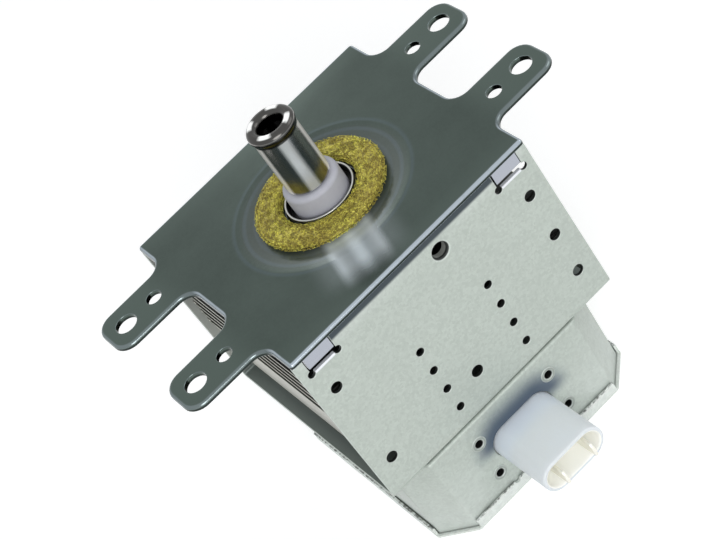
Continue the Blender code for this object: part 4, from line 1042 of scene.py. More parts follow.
def smooth_finish(name, colour, roughness, spot, spot_share, depth=0.01, size=3.0, shade=None):
    """Ceramic, plastic, ferrite or resin: nearly even, with faint blotches and a fine skin."""
    made = Finish(name, 0.0, roughness)
    clouds = made.clouds(size, 2.0)
    fine = made.speckle(0.5, 0.16)["Value"]
    base = made.layered(
        colour, (made.between(clouds, 0.0, spot_share), spot),
        (made.between(fine, 0.0, spot_share / 2), tinted(colour, -0.2)),
        (made.wear(0.3), tinted(colour, 0.12)),
    )
    if shade:
        base = shade(made, base)
    return made.done(base, clouds, roughness - 0.06, roughness + 0.08, fine, depth)


def socket_finish(colour):
    """Thin white plastic that light passes into."""
    yellowed = (0.78, 0.77, 0.69)
    material = smooth_finish("socket_plastic", colour, 0.42, yellowed, 0.2, 0.006, 8.0, socket_inside)
    shader = material.node_tree.nodes["Principled BSDF"]
    shader.inputs["Subsurface Weight"].default_value = 0.8
    shader.inputs["Subsurface Radius"].default_value = (1.0, 1.0, 1.0)
    shader.inputs["Subsurface Scale"].default_value = 4 * MM
    return material


def make_finishes(colours):
    """All finishes by name, from the colours that the user set."""
    for make_group in (speckle_group, clouds_group, grain_group, wear_group):
        make_group()
    zinc = colours.zinc[:]
    return {
        "plate": plate_finish(colours.plate[:]),
        "yoke": zinc_finish("yoke_zinc", zinc, folded_shade),
        "box": zinc_finish("box_zinc", zinc, socket_shade),
        "zinc": zinc_finish("zinc_sheet", zinc),
        "rivet": zinc_finish("rivet_zinc", tinted(zinc, -0.3), bore_shade),
        "lid": zinc_finish("lid_zinc", (0.80, 0.84, 0.80), rim_shade),
        "fin": turned_finish("fin_aluminium", (0.52, 0.52, 0.47), 0.30, 0.42, shade=fin_shade),
        "cap": turned_finish("drawn_steel", colours.cap[:], 0.14, 0.24, 0.003, CAP_MOUTH, CAP_NECK),
        "seal": turned_finish("seal_steel", (0.50, 0.50, 0.48), 0.28, 0.40, mouth=SEAL_MOUTH),
        "pole": turned_finish("pole_steel", (0.40, 0.41, 0.40), 0.30, 0.44),
        "copper": turned_finish("anode_copper", (0.70, 0.33, 0.20), 0.28, 0.42),
        "dark_metal": turned_finish("refractory_metal", (0.34, 0.34, 0.36), 0.32, 0.46),
        "tin": turned_finish("tinned_blade", (0.90, 0.88, 0.80), 0.3, 0.42),
        "wire": wire_finish("brass_wire", colours.gasket[:], (0.50, 0.36, 0.08)),
        "core": wire_finish("gasket_shade", (0.46, 0.40, 0.08), (0.22, 0.17, 0.04)),
        "ceramic": smooth_finish("glazed_ceramic", colours.ceramic[:], 0.5, (0.40, 0.39, 0.46), 0.5),
        "plastic": socket_finish(colours.plastic[:]),
        "ferrite": smooth_finish("ferrite", (0.045, 0.045, 0.05), 0.62, (0.09, 0.085, 0.08), 0.7, 0.03),
        "resin": smooth_finish("potting_resin", (0.20, 0.09, 0.045), 0.42, (0.12, 0.05, 0.03), 0.6),
    }


FINISHES = {}


def finish_of(name):
    if not FINISHES:
        FINISHES.update(make_finishes(bpy.context.scene.magnetron_colours))
    return FINISHES[name]


# Settings


class MagnetronSizes(PropertyGroup):
    """Sizes of the finish, which leave the solids as they are."""

    edge_rounding: FloatProperty(
        name="Edge rounding", description="Radius that punching leaves on the edges of the sheets",
        default=0.18 * MM, min=0.05 * MM, max=0.3 * MM, unit="LENGTH",
    )
    wire_radius: FloatProperty(
        name="Gasket wire radius", description="Half the thickness of the gasket's wire",
        default=0.08 * MM, min=0.05 * MM, max=0.2 * MM, unit="LENGTH",
    )
    stitches: IntProperty(
        name="Stitches round the gasket", description="Stitches of wire in one turn round the ring",
        default=84, min=12, max=90,
    )
    cap_rim: FloatProperty(
        name="Cap rim roll", description="Radius of the cap's rolled rim",
        default=1.675 * MM, min=1.0 * MM, max=1.8 * MM, unit="LENGTH",
    )
    lamp_power: FloatProperty(
        name="Lamp power", description="Power of the main soft lamp", default=7.0, min=0.0, unit="POWER",
    )


class MagnetronColours(PropertyGroup):
    """Colours of the finishes that show most."""

    plate: FloatVectorProperty(
        name="Plate", description="Plated steel of the mounting plate", subtype="COLOR",
        default=(0.060, 0.078, 0.069), min=0.0, max=1.0,
    )
    zinc: FloatVectorProperty(
        name="Zinc", description="Zinc coat of the yoke, the box and its lid", subtype="COLOR",
        default=(0.53, 0.585, 0.535), min=0.0, max=1.0,
    )
    cap: FloatVectorProperty(
        name="Cap", description="Drawn steel of the antenna cap", subtype="COLOR",
        default=(0.62, 0.60, 0.57), min=0.0, max=1.0,
    )
    gasket: FloatVectorProperty(
        name="Gasket", description="Brass wire of the gasket", subtype="COLOR",
        default=(0.80, 0.73, 0.12), min=0.0, max=1.0,
    )
    ceramic: FloatVectorProperty(
        name="Ceramic", description="Ceramic tube under the cap", subtype="COLOR",
        default=(0.50, 0.51, 0.56), min=0.0, max=1.0,
    )
    plastic: FloatVectorProperty(
        name="Connector", description="Plastic of the connector", subtype="COLOR",
        default=(0.73, 0.79, 0.88), min=0.0, max=1.0,
    )


# Pieces


def sheet_rounding():
    return bpy.context.scene.magnetron_sizes.edge_rounding / MM


def plate_outline():
    """The plate and its ears seen from above, from the far right corner clockwise."""
    half_length, half_width = PLATE_LENGTH / 2, PLATE_WIDTH / 2
    tip = half_length + EAR_REACH
    ear_out, ear_in = EAR_PITCH / 2 + EAR_WIDTH / 2, EAR_PITCH / 2 - EAR_WIDTH / 2
    end = [
        (half_length, half_width, PLATE_ROUNDING), (half_length, ear_out, EAR_ROOT_ROUNDING),
        (tip, ear_out - EAR_TAPER, EAR_ROUNDING), (tip, ear_in + EAR_TAPER, EAR_ROUNDING),
        (half_length, ear_in, EAR_ROOT_ROUNDING),
    ]
    right = end + [(x, -y, radius) for x, y, radius in reversed(end)]
    return rounded_outline(right + [(-x, y, radius) for x, y, radius in reversed(right)], 8)


def tab_shells():
    """The four tabs: each starts inside the plate and hangs down just behind its edge."""
    face = PLATE_WIDTH / 2 - TAB_INSET
    back = face - TAB_THICKNESS
    under = PLATE_TOP - PLATE_THICKNESS
    top, bottom = under + 0.6, PLATE_TOP - TAB_DROP
    shells = []
    for side in (-1, 1):
        section = [
            (side * (back - TAB_ROOT), top), (side * (back - TAB_ROOT), under),
            (side * back, under, TAB_ROOT_RADIUS), (side * back, bottom, TAB_FOOT_ROUNDING),
            (side * face, bottom, TAB_FOOT_ROUNDING), (side * face, top),
        ]
        for centre in (-TAB_X, TAB_X):
            shell = closed_shell([cut_edge(rounded_outline(section, 5), 0, TAB_WIDTH, TAB_EDGE)])
            shell.transform(along_x(centre - TAB_WIDTH / 2))
            shells.append(shell)
    return shells


def build_plate():
    r = sheet_rounding()
    top = PLATE_THICKNESS
    groups = [cut_edge(plate_outline(), 0, top, r, upper=PLATE_UPPER_EDGE, steps=4)]
    tip = PLATE_LENGTH / 2 + EAR_REACH
    for x_side in (-1, 1):
        for y_side in (-1, 1):
            for from_tip, radius in EAR_HOLES:
                centre = (x_side * (tip - from_tip), y_side * EAR_PITCH / 2)
                groups.append(cut_edge(circle(radius, 40, centre), 0, top, r, hole=True))
    floor = top - DISH_DEPTH
    dish = [
        (DISH_FLOOR_RADIUS - 0.5, floor), (DISH_FLOOR_RADIUS, floor + 0.02),
        (DISH_FLOOR_RADIUS + 0.6, floor + 0.07), (DISH_RADIUS - 0.6, top - 0.07),
        (DISH_RADIUS, top - 0.02), (DISH_RADIUS + 0.5, top),
    ]
    bore = cut_edge(circle(PLATE_BORE, 120), 0, floor, r, hole=True)
    groups.append(bore + [(circle(radius, 120), height) for radius, height in dish])
    work = closed_shell(groups)
    work.transform(Matrix.Translation((0, 0, PLATE_TOP - PLATE_THICKNESS)))
    return even_shading(join_shapes(shaped_piece("plate_sheet", work, "plate"), tab_shells()))


def wall_hole(x, drop, radius, steps=32):
    """A hole in both walls of the flat yoke strip, as its two centres."""
    return [(x, side * wall_run(PLATE_TOP - drop), radius, steps) for side in (-1, 1)]


def wall_run(height):
    """How far along the flat strip a point of the wall at this height lies."""
    return YOKE_HALF_WIDTH - YOKE_BEND + YOKE_BEND * math.pi / 2 + height - YOKE_BOTTOM - YOKE_BEND


def yoke_outline():
    """The strip laid flat, with the notches that the tabs hang in, and their corner reliefs."""
    edge = wall_run(YOKE_TOP)
    floor = wall_run(NOTCH_FLOOR)
    half = TAB_WIDTH / 2 + GAP
    far = []
    for centre in (-TAB_X, TAB_X):
        far += [(centre - half, edge)]
        for side, first in ((-1, 90), (1, 180)):
            middle = (centre + side * half, floor)
            far += arc(middle, NOTCH_RELIEF, first, first + 270, 18)
        far += [(centre + half, edge)]
    corners = [(-PLATE_LENGTH / 2, edge, 0.4), *far, (PLATE_LENGTH / 2, edge, 0.4)]
    return rounded_outline(corners + [(-x, -y, *rest) for x, y, *rest in corners], 4)


def fold_yoke(point):
    """Bends the flat strip into a U. Its outer face is the flat strip's lower one."""
    start = YOKE_HALF_WIDTH - YOKE_BEND
    beyond = abs(point.y) - start
    if beyond <= 0:
        return Vector((point.x, point.y, YOKE_BOTTOM + point.z))
    angle = min(beyond / YOKE_BEND, math.pi / 2)
    radius = YOKE_BEND - point.z
    reach = start + radius * math.sin(angle)
    height = YOKE_BOTTOM + YOKE_BEND - radius * math.cos(angle)
    height += max(beyond - YOKE_BEND * math.pi / 2, 0)
    return Vector((point.x, math.copysign(reach, point.y), height))


def build_yoke():
    r = sheet_rounding()
    t = YOKE_THICKNESS
    holes = [(0, 0, YOKE_BORE, 96)]
    for x, drops, radius in (
        (-CORNER_HOLE_X, CORNER_HOLE_DROPS, CORNER_HOLE),
        (CORNER_HOLE_X, (*CORNER_HOLE_DROPS, MIDDLE_HOLE_DROP), CORNER_HOLE),
        (-VENT_X, VENT_DROPS, VENT_HOLE), (VENT_X, VENT_DROPS, VENT_HOLE),
    ):
        for drop in drops:
            holes += wall_hole(x, drop, radius)
    holes += wall_hole(LOCATING_X, CORNER_HOLE_DROPS[1], LOCATING_HOLE)[:1]
    groups = [cut_edge(yoke_outline(), 0, t, r)]
    groups += [cut_edge(circle(radius, steps, (x, y)), 0, t, r, hole=True) for x, y, radius, steps in holes]
    groups.append(drawn_collar(wall_hole(FLANGED_X, FLANGED_DROP, FLANGED_HOLE)[0]))
    start = YOKE_HALF_WIDTH - YOKE_BEND
    bends = [start - 0.5] + [start + YOKE_BEND * math.pi / 2 * step / 10 for step in range(11)]
    bends.append(bends[-1] + 0.5)
    creases = [((0, side * y, 0), (0, 1, 0)) for side in (-1, 1) for y in bends]
    work = closed_shell(groups, creases)
    for vertex in work.verts:
        vertex.co = fold_yoke(vertex.co)
    return even_shading(shaped_piece("yoke_strip", work, "yoke"))


def drawn_collar(hole):
    """Rings of a hole whose rim was drawn inwards to a short collar."""
    x, y, radius, steps = hole
    t = YOKE_THICKNESS
    lip = t + FLANGED_REACH
    outer = radius + FLANGED_RIM
    turns = (0, 0.4, 0.8, 1.2, math.pi / 2)
    drawn = [(radius + 0.9 * (1 - math.sin(a)), 0.9 * (1 - math.cos(a))) for a in turns]
    drawn += [(radius, lip - 0.2), (radius + 0.2, lip), (outer - 0.2, lip), (outer, lip - 0.2)]
    drawn += [(outer, t + 0.4), (outer + 0.12, t + 0.12), (outer + 0.4, t)]
    return [(circle(r, steps, (x, y)), height) for r, height in drawn]


def can_ring(length, width, cut, inset):
    """An oblong with its corners cut off at 45 degrees, and its eight bends a little rounded."""
    x, y = length / 2, width / 2
    corner = [(x, y - cut, CORNER_ROUNDING), (x - cut, y, CORNER_ROUNDING)]
    upper = [(BOX_SHIFT + x, y, r) for x, y, r in corner + [(-x, y, r) for x, y, r in reversed(corner)]]
    lower = [(x, -y, r) for x, y, r in reversed(upper)]
    return moved_in(rounded_outline(upper + lower, 5), inset)


def front_cutter(outline, front, depth=4):
    """A cutter that runs through a front wall, from half its depth behind the front."""
    work = closed_shell([[(outline, 0), (outline, depth)]])
    work.transform(along_y(front + depth / 2))
    return work


def build_box():
    """The drawn can: up its inside, round its foot, and up its outside over the edge."""
    t, low, high = BOX_THICKNESS, BOX_BOTTOM, BOX_TOP
    inner, rim = INNER_ROUNDING, RIM_ROUNDING
    wall = arc((t + inner, high - t - inner), inner, 90, 180, 2)
    wall += [(t, low + rim), (t - rim, low), (rim, low), (0, low + rim)]
    wall += arc((BOX_EDGE, high - BOX_EDGE), BOX_EDGE, 180, 90, 5)
    rings = []
    for inset, height in wall:
        lean = BOX_LEAN * (high - height) / (high - low)
        rings.append((can_ring(BOX_LENGTH - 2 * lean, -2 * BOX_FRONT, BOX_CUT, inset), height))
    bore = [(circle(BOX_BORE, 64), high - t), (circle(BOX_BORE, 64), high)]
    box = shaped_piece("box_can", closed_shell([rings, bore]), "box")
    slot = obround(CONNECTOR_LENGTH + 2 * GAP, CONNECTOR_HEIGHT + 2 * GAP, 12, (BOX_SHIFT, CONNECTOR_Z))
    holes = [circle(RIVET_HOLE, 24, (x, z)) for x in RIVET_XS for z in RIVET_ZS]
    return even_shading(take_away(box, [front_cutter(outline, BOX_FRONT) for outline in (slot, *holes)]))


def build_lid():
    """The lid: a shallow tray whose rim stops short of the four corners."""
    t, top = LID_THICKNESS, LID_HEIGHT
    inner, rim = INNER_ROUNDING, RIM_ROUNDING
    wall = arc((LID_EDGE, LID_EDGE), LID_EDGE, 270, 180, 5)
    wall += [(0, top - rim), (rim, top), (t - rim, top), (t, top - rim), (t, t + inner), (t + inner, t)]
    rings = [(can_ring(LID_LENGTH, LID_WIDTH, LID_CUT, inset), height) for inset, height in wall]
    lid = shaped_piece("box_lid", closed_shell([rings]), "lid")
    cutters = []
    for i in (-1, 1):
        for j in (-1, 1):
            xs = sorted(BOX_SHIFT + i * (LID_LENGTH / 2 + reach) for reach in (-LID_CORNER_CUT, 1))
            ys = sorted(j * (LID_WIDTH / 2 + reach) for reach in (-LID_CORNER_CUT, 1))
            cutters.append(block((xs[0], ys[0], t + LID_EDGE / 2), (xs[1], ys[1], top + 1)))
    for i in (-1, 1):
        notch = circle(LID_NOTCH, 24, (BOX_SHIFT + i * LID_NOTCH_X, top))
        cutters.append(front_cutter(notch, -LID_WIDTH / 2))
    return even_shading(take_away(lid, cutters))


def build_connector():
    """The socket: an oval tube whose open end is rounded, with a floor that the terminals pass."""
    wall = CONNECTOR_WALL
    length = CONNECTOR_BACK - CONNECTOR_FRONT
    floor = CONNECTOR_BACK - SOCKET_FLOOR
    outline = obround(CONNECTOR_LENGTH, CONNECTOR_HEIGHT, 14, (BOX_SHIFT, CONNECTOR_Z))
    section = [(0.3, 0), (0.09, 0.09), (0, 0.3)]
    section += arc((0.45, length - 0.45), 0.45, 180, 90, 4)
    section += arc((wall - 0.5, length - 0.5), 0.5, 90, 0, 4)
    section += [(wall, floor + 0.4), (wall + 0.12, floor + 0.12), (wall + 0.4, floor)]
    shell = [(moved_in(outline, inset), height) for inset, height in section]
    holes = [circle(TERMINAL_ROD + GAP, 24, (x, CONNECTOR_Z)) for x in TERMINAL_XS]
    work = closed_shell([shell, *([(hole, 0), (hole, floor)] for hole in holes)])
    work.transform(along_y(CONNECTOR_BACK))
    return even_shading(shaped_piece("socket_housing", work, "plastic"))


def build_terminal(side, x):
    """A blade with chamfered edges, on the rod that runs back through the capacitor."""
    half = TERMINAL_WIDTH / 2
    root = SOCKET_FLOOR - GAP
    corners = [
        (root, CONNECTOR_Z - half, 0.3), (root, CONNECTOR_Z + half, 0.3),
        (TERMINAL_FRONT, CONNECTOR_Z + half, 1.2), (TERMINAL_FRONT, CONNECTOR_Z - half, 1.2),
    ]
    work = closed_shell([cut_edge(rounded_outline(corners, 6), 0, TERMINAL_THICKNESS, 0.16)])
    work.transform(along_x(x - TERMINAL_THICKNESS / 2))
    rod = circle(TERMINAL_ROD, 24, (x, CONNECTOR_Z))
    start = root - 2.5
    stem = closed_shell([cut_edge(rod, 0, TERMINAL_BACK - start, 0.2)])
    stem.transform(along_y(TERMINAL_BACK))
    return even_shading(join_shapes(shaped_piece(f"blade_{side}", work, "tin"), [stem]))


def build_rivets():
    """Tubular rivets with rolled heads, set on the grid of their holes."""
    shank, length, head = 1.7, 2.2, 0.5
    mouth = arc((RIVET_BORE + 0.45, length), 0.45, 180, 90, 4)
    crown = arc((RIVET_HEAD - 0.35, length + 0.1), 0.35, 90, 0, 4)
    tail = [
        (RIVET_HEAD, length), (shank, length), (shank, 0), (RIVET_HEAD - 0.2, 0),
        (RIVET_HEAD - 0.4, -head), (RIVET_BORE, -head),
    ]
    work = turned_shell(mouth + crown + tail, 32)
    work.transform(Matrix.Rotation(math.pi / 2, 4, "X"))
    rivets = shaped_piece("tubular_rivets", work, "rivet")
    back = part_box("eyelet_1")[1].y - head * MM
    return grown_by(rivets, rivet_tree(finish_of("rivet")), {
        "Pitch X": (RIVET_XS[1] - RIVET_XS[0]) * MM, "Pitch Z": (RIVET_ZS[1] - RIVET_ZS[0]) * MM,
        "Centre": (sum(RIVET_XS) / 2 * MM, back, sum(RIVET_ZS) / 2 * MM),
    })


def turned_piece(name, profile, finish, steps=96, closed=True):
    return even_shading(shaped_piece(name, turned_shell(profile, steps, closed), finish))


def ring_piece(name, finish, outer, inner, low, high, roundings, arc_steps=3, steps=80):
    """A turned ring or tube. Its roundings are of the outer and the inner edges, each top and bottom."""
    profile = rounded_outline([
        (outer, high, roundings[0]), (outer, low, roundings[1]), (inner, low, roundings[2]),
        (inner, high, roundings[3]),
    ], arc_steps)
    return turned_piece(name, profile, finish, steps)


def build_ceramic():
    heights = CERAMIC_BOTTOM, CERAMIC_TOP
    return ring_piece(
        "ceramic_tube", "ceramic", CERAMIC_RADIUS, CERAMIC_BORE, *heights, (1.4, 0.3, 0.3, 0.3), 6, 96
    )


def build_cap():
    """From the blind well over the rolled rim, down the drawn wall and back up on the inside."""
    roll = bpy.context.scene.magnetron_sizes.cap_rim / MM
    centre = (CAP_RIM_RADIUS - roll, CAP_TOP - roll)
    well = centre[0] - roll
    floor = CAP_TOP - CAP_WELL_DEPTH
    inside = CAP_RADIUS - CAP_WALL
    neck = centre[1] - 1.4
    profile = [(0, floor), (well - 0.7, floor)] + arc((well - 0.7, floor + 0.7), 0.7, 270, 360, 4)
    profile += arc(centre, roll, 180, 0, 14)
    profile += [
        (CAP_RIM_RADIUS - 0.1, centre[1] - 0.5), (CAP_RADIUS + 0.15, neck + 0.4), (CAP_RADIUS, neck - 0.2),
        (CAP_RADIUS, CAP_BOTTOM + 0.1), (CAP_RADIUS - 0.1, CAP_BOTTOM), (inside + 0.1, CAP_BOTTOM),
        (inside, CAP_BOTTOM + 0.1), (inside, neck),
    ]
    profile += arc(centre, roll - CAP_WALL, 0, 180, 10)
    profile += [(well + CAP_WALL, floor - CAP_WALL), (0, floor - CAP_WALL)]
    return turned_piece("drawn_cap", profile, "cap", 96, closed=False)


def build_gasket():
    """A ring of knitted wire: its core gives the places and directions of the stitches."""
    sizes = bpy.context.scene.magnetron_sizes
    outer, inner = GASKET_RADIUS - GASKET_CORE_INSET, GASKET_BORE + GASKET_CORE_INSET
    low, high = GASKET_BOTTOM + GASKET_CORE_INSET, GASKET_TOP - GASKET_CORE_INSET
    corners = [(outer, high, 1.0), (outer, low, 0.8), (inner, low, 0.8), (inner, high, 1.0)]
    outline = rounded_outline(corners, 3)
    core = turned_shell(even_spacing(outline, 20), sizes.stitches)
    bmesh.ops.recalc_face_normals(core, faces=core.faces)
    core.normal_update()
    outwards = core.verts.layers.float_vector.new(OUTWARDS)
    around = core.verts.layers.float_vector.new(AROUND)
    for vertex in core.verts:
        vertex[outwards] = vertex.normal
        vertex[around] = Vector((-vertex.co.y, vertex.co.x, 0)).normalized()
    core_mesh = finished_mesh("gasket_core", core)
    gasket = linked("knitted_ring", core_mesh.copy())
    gasket.data.materials.append(finish_of("wire"))
    stitch = stitch_shape(math.tau * (GASKET_RADIUS + GASKET_BORE) / 2 / sizes.stitches)
    grown_by(gasket, knit_tree(finish_of("wire")), {
        "Stitch": stitch, "Wire radius": sizes.wire_radius, "Disorder": 0.35, "Seed": 4,
    })
    add_mesh(gasket, core_mesh, finish_of("core"))
    discard(stitch)
    return gasket


def even_spacing(points, count):
    """The closed path through the points as the given number of evenly spaced ones."""
    path = points + points[:1]
    lengths = [(b - a).length for a, b in zip(path, path[1:])]
    total = sum(lengths)
    spaced = []
    for number in range(count):
        want = total * number / count
        for a, b, length in zip(path, path[1:], lengths):
            if want <= length:
                spaced.append(a.lerp(b, want / max(length, 1e-9)))
                break
            want -= length
    return spaced


def stitch_shape(width):
    """One knitted loop as a line of points: legs that lean out and a head that arches over."""
    height, steps = 0.75, 10
    points = []
    for step in range(steps + 1):
        turn = math.tau * step / steps
        x = width * (step / steps - 0.5) + 0.30 * width * math.sin(2 * turn)
        points.append(Vector((x, -height * math.cos(turn), 0.16 * math.cos(2 * turn))) * MM)
    mesh = bpy.data.meshes.new("stitch")
    mesh.from_pydata(points, [(i, i + 1) for i in range(steps)], [])
    return linked("stitch", mesh)


def build_magnet(name, low):
    high = low + MAGNET_THICKNESS
    return ring_piece(f"ring_{name}", "ferrite", MAGNET_RADIUS, MAGNET_BORE, low, high, (0.8,) * 4)


def build_anode():
    inner = ANODE_RADIUS - ANODE_WALL
    return ring_piece("anode_shell", "copper", ANODE_RADIUS, inner, ANODE_BOTTOM, ANODE_TOP, (0.3,) * 4)


def pole_corners():
    """The upper pole piece's profile as (radius, height, rounding)."""
    top, under = POLE_TOP, POLE_TOP - POLE_THICKNESS
    tip = under - POLE_DEPTH
    back = tip + POLE_CONE_THICKNESS
    return [
        (POLE_RADIUS, top, 0.3), (POLE_RADIUS, under, 0.3), (12.5, under, 0.6), (8.6, tip, 0.5),
        (POLE_BORE, tip, 0.3), (POLE_BORE, back, 0.3), (7.7, back, 0.5), (11.6, top, 0.6),
    ]


def build_pole(name, mirrored):
    corners = pole_corners()
    if mirrored:
        corners = [(r, 2 * ANODE_MIDDLE - z, rounding) for r, z, rounding in reversed(corners)]
    pole = turned_piece(f"dished_{name}", rounded_outline(corners, 3), "pole", 80)
    if not mirrored:
        hole = circle(LEAD_HOLE, 32, (LEAD_HOLE_X, 0))
        cutter = closed_shell([[(hole, POLE_TOP - 12), (hole, POLE_TOP + 4)]])
        even_shading(take_away(pole, [cutter]))
    return pole


def build_upper_seal():
    """The cup, from its lip down to its flange and back up past the ledge under the ceramic."""
    outer, inner = SEAL_RADIUS, SEAL_RADIUS - SEAL_WALL
    foot, ledge = SEAL_FOOT, CERAMIC_BOTTOM - GAP
    flange, under = foot + 0.8, ledge - SEAL_WALL
    corners = [
        (outer, SEAL_LIP_TOP, 0.25), (outer, flange + 0.8, 0.5), (outer + 0.8, flange, 0.3),
        (SEAL_FLANGE_RADIUS, flange, 0.2), (SEAL_FLANGE_RADIUS, foot, 0.2), (inner, foot, 0.2),
        (inner, under, 0.2), (SEAL_BORE, under, 0.2), (SEAL_BORE, ledge, 0.2),
        (inner, ledge, 0.2), (inner, SEAL_LIP_TOP, 0.25),
    ]
    return turned_piece("seal_cup_upper", rounded_outline(corners, 3), "seal", 96)


def folded_section(half, end, outer_face, inner_face):
    """A fin's section with both ends bent to one height, from the heights of its two faces."""
    inner = half - FIN_THICKNESS
    bend = FIN_BEND - FIN_THICKNESS
    return [
        (-half, end), (-half, outer_face, FIN_BEND), (half, outer_face, FIN_BEND), (half, end),
        (inner, end), (inner, inner_face, bend), (-inner, inner_face, bend), (-inner, end),
    ]


def fin_piece(name, section, span, place, height):
    """A pressed fin: its folded section run to its full width, with a bore drawn to a collar."""
    work = closed_shell([cut_edge(rounded_outline(section, 5), 0, span, FIN_EDGE)])
    work.transform(place)
    fin = shaped_piece(name, work, "fin")
    bore = ANODE_RADIUS + GAP
    hole = circle(bore + FIN_THICKNESS / 2, 64)
    take_away(fin, [closed_shell([[(hole, height - 1), (hole, height + 2)]])])
    low, high = height + 0.02, height + 0.1 + FIN_COLLAR
    rim = bore + FIN_THICKNESS
    collar = [
        (bore, low), (rim, low), (rim, high - FIN_EDGE), (rim - FIN_EDGE, high), (bore + FIN_EDGE, high),
        (bore, high - FIN_EDGE),
    ]
    return even_shading(join_shapes(fin, [turned_shell(collar, 64)]))


def build_guide_fin():
    """The lowest fin, whose two open ends turn down to guide the air."""
    section = folded_section(GUIDE_HALF_LENGTH, FIN_FIRST - GUIDE_DROP, FIN_FIRST + FIN_THICKNESS, FIN_FIRST)
    return fin_piece("guide_fin", section, 2 * FIN_HALF_WIDTH, along_y(FIN_HALF_WIDTH), FIN_FIRST)


def build_fin_stack():
    """The upper fins: one fin, repeated up the anode."""
    height = FIN_FIRST + FIN_PITCH
    section = folded_section(FIN_HALF_WIDTH, height + FIN_SIDE_BEND, height, height + FIN_THICKNESS)
    fin = fin_piece("fin_stack", section, 2 * FIN_HALF_LENGTH, along_x(-FIN_HALF_LENGTH), height)
    return grown_by(fin, repeat_tree(finish_of("fin")), {"Count": FINS - 1, "Pitch": FIN_PITCH * MM})


# Stage


CAMERA_PLACE = (-99.21, -448.88, 437.14)
CAMERA_RIGHT = (0.70450, -0.53764, -0.46327)
CAMERA_UP = (0.69136, 0.37248, 0.61909)
CAMERA_LENS = 114.12
AIM = (0, 0, 0.05)
LAMPS = (  # name, place, target and size in metres, share of the lamp power
    ("main_lamp", (-0.30, -0.95, 0.60), AIM, 0.7, 0.9),
    ("side_lamp", (0.85, -0.25, 0.55), AIM, 0.6, 0.18),
    ("glint_lamp", (0.221, 1.004, 0.664), (-0.0045, -0.023, 0.0868), 0.1, 0.012),
)
FLOOR_GLOW = 0.46
SKY_LIGHT = 0.48


def add_camera():
    data = bpy.data.cameras.new("camera")
    data.lens = CAMERA_LENS
    data.sensor_width = 36
    data.sensor_fit = "HORIZONTAL"
    camera = linked("camera", data)
    right, up = Vector(CAMERA_RIGHT).normalized(), Vector(CAMERA_UP).normalized()
    back = right.cross(up).normalized()
    up = back.cross(right)
    turn = Matrix((right, up, back)).transposed().to_4x4()
    camera.matrix_world = Matrix.Translation(Vector(CAMERA_PLACE) * MM) @ turn
    bpy.context.scene.camera = camera


def add_lamp(name, place, target, size, power):
    data = bpy.data.lights.new(name, "AREA")
    data.shape = "DISK"
    data.size = size
    data.energy = power
    lamp = linked(name, data)
    lamp.location = place
    lamp.rotation_euler = (Vector(target) - Vector(place)).to_track_quat("-Z", "Y").to_euler()


def seen_directly(made):
    """1 where the camera, a mirror or glass shows the surface, and 0 for the light it casts."""
    path = made.add("ShaderNodeLightPath")
    shown = made.maths("MAXIMUM", path.outputs["Is Camera Ray"], path.outputs["Is Glossy Ray"])
    return made.maths("MAXIMUM", shown, path.outputs["Is Transmission Ray"])


def add_floor():
    work = bmesh.new()
    bmesh.ops.create_circle(work, cap_ends=True, radius=1500, segments=64)
    floor = linked("floor", finished_mesh("floor", work))
    made = Finish("pale_floor", 0.0, 0.9)
    patches = made.between(made.clouds(400, 1.2), 0.0, 0.1)
    made.colour(made.blend(patches, (0.86, 0.86, 0.86), (0.84, 0.84, 0.85)))
    made.shader.inputs["Emission Color"].default_value = (1, 1, 1, 1)
    made.put(made.shader.inputs["Emission Strength"], made.product(seen_directly(made), FLOOR_GLOW))
    floor.data.materials.append(made.material)


def add_world():
    world = bpy.data.worlds.new("studio")
    bpy.context.scene.world = world
    world.use_nodes = True
    made = NodeTree(world.node_tree)
    back = made.tree.nodes["Background"]
    back.inputs["Color"].default_value = (0.97, 0.99, 1.0, 1)
    made.put(back.inputs["Strength"], made.between(seen_directly(made), SKY_LIGHT, 1.0))


def build_stage():
    bpy.context.scene.view_settings.view_transform = "Standard"
    power = bpy.context.scene.magnetron_sizes.lamp_power
    add_camera()
    add_floor()
    add_world()
    for name, place, target, size, share in LAMPS:
        add_lamp(name, place, target, size, power * share)


# Operators


class MAGNETRON_OT_plate(Operator):
    """Makes the mounting plate with its ears, dish and hanging tabs"""

    bl_idname = "magnetron.plate"
    bl_label = "Mounting plate"
    bl_options = {"REGISTER", "UNDO"}

    def execute(self, context):
        stands_for(build_plate(), "plated_steel", "mounting_plate")
        return {"FINISHED"}


class MAGNETRON_OT_yoke(Operator):
    """Makes the folded yoke with its holes"""

    bl_idname = "magnetron.yoke"
    bl_label = "Yoke"
    bl_options = {"REGISTER", "UNDO"}

    def execute(self, context):
        stands_for(build_yoke(), "galvanised_steel", "yoke")
        return {"FINISHED"}


class MAGNETRON_OT_filter_box(Operator):
    """Makes the filter box and its lid"""

    bl_idname = "magnetron.filter_box"
    bl_label = "Filter box and lid"
    bl_options = {"REGISTER", "UNDO"}

    def execute(self, context):
        stands_for(build_box(), "galvanised_steel", "filter_box")
        stands_for(build_lid(), "galvanised_steel", "filter_lid")
        return {"FINISHED"}


class MAGNETRON_OT_connector(Operator):
    """Makes the socket, its two blades and the rivets round it"""

    bl_idname = "magnetron.connector"
    bl_label = "Connector"
    bl_options = {"REGISTER", "UNDO"}

    def execute(self, context):
        stands_for(build_connector(), "white_plastic", "connector_housing")
        for side, x in zip(("left", "right"), TERMINAL_XS):
            stands_for(build_terminal(side, x), "tinned_brass", f"terminal_{side}")
        stands_for(build_rivets(), "galvanised_steel", "eyelet_1", "eyelet_2", "eyelet_3", "eyelet_4")
        return {"FINISHED"}


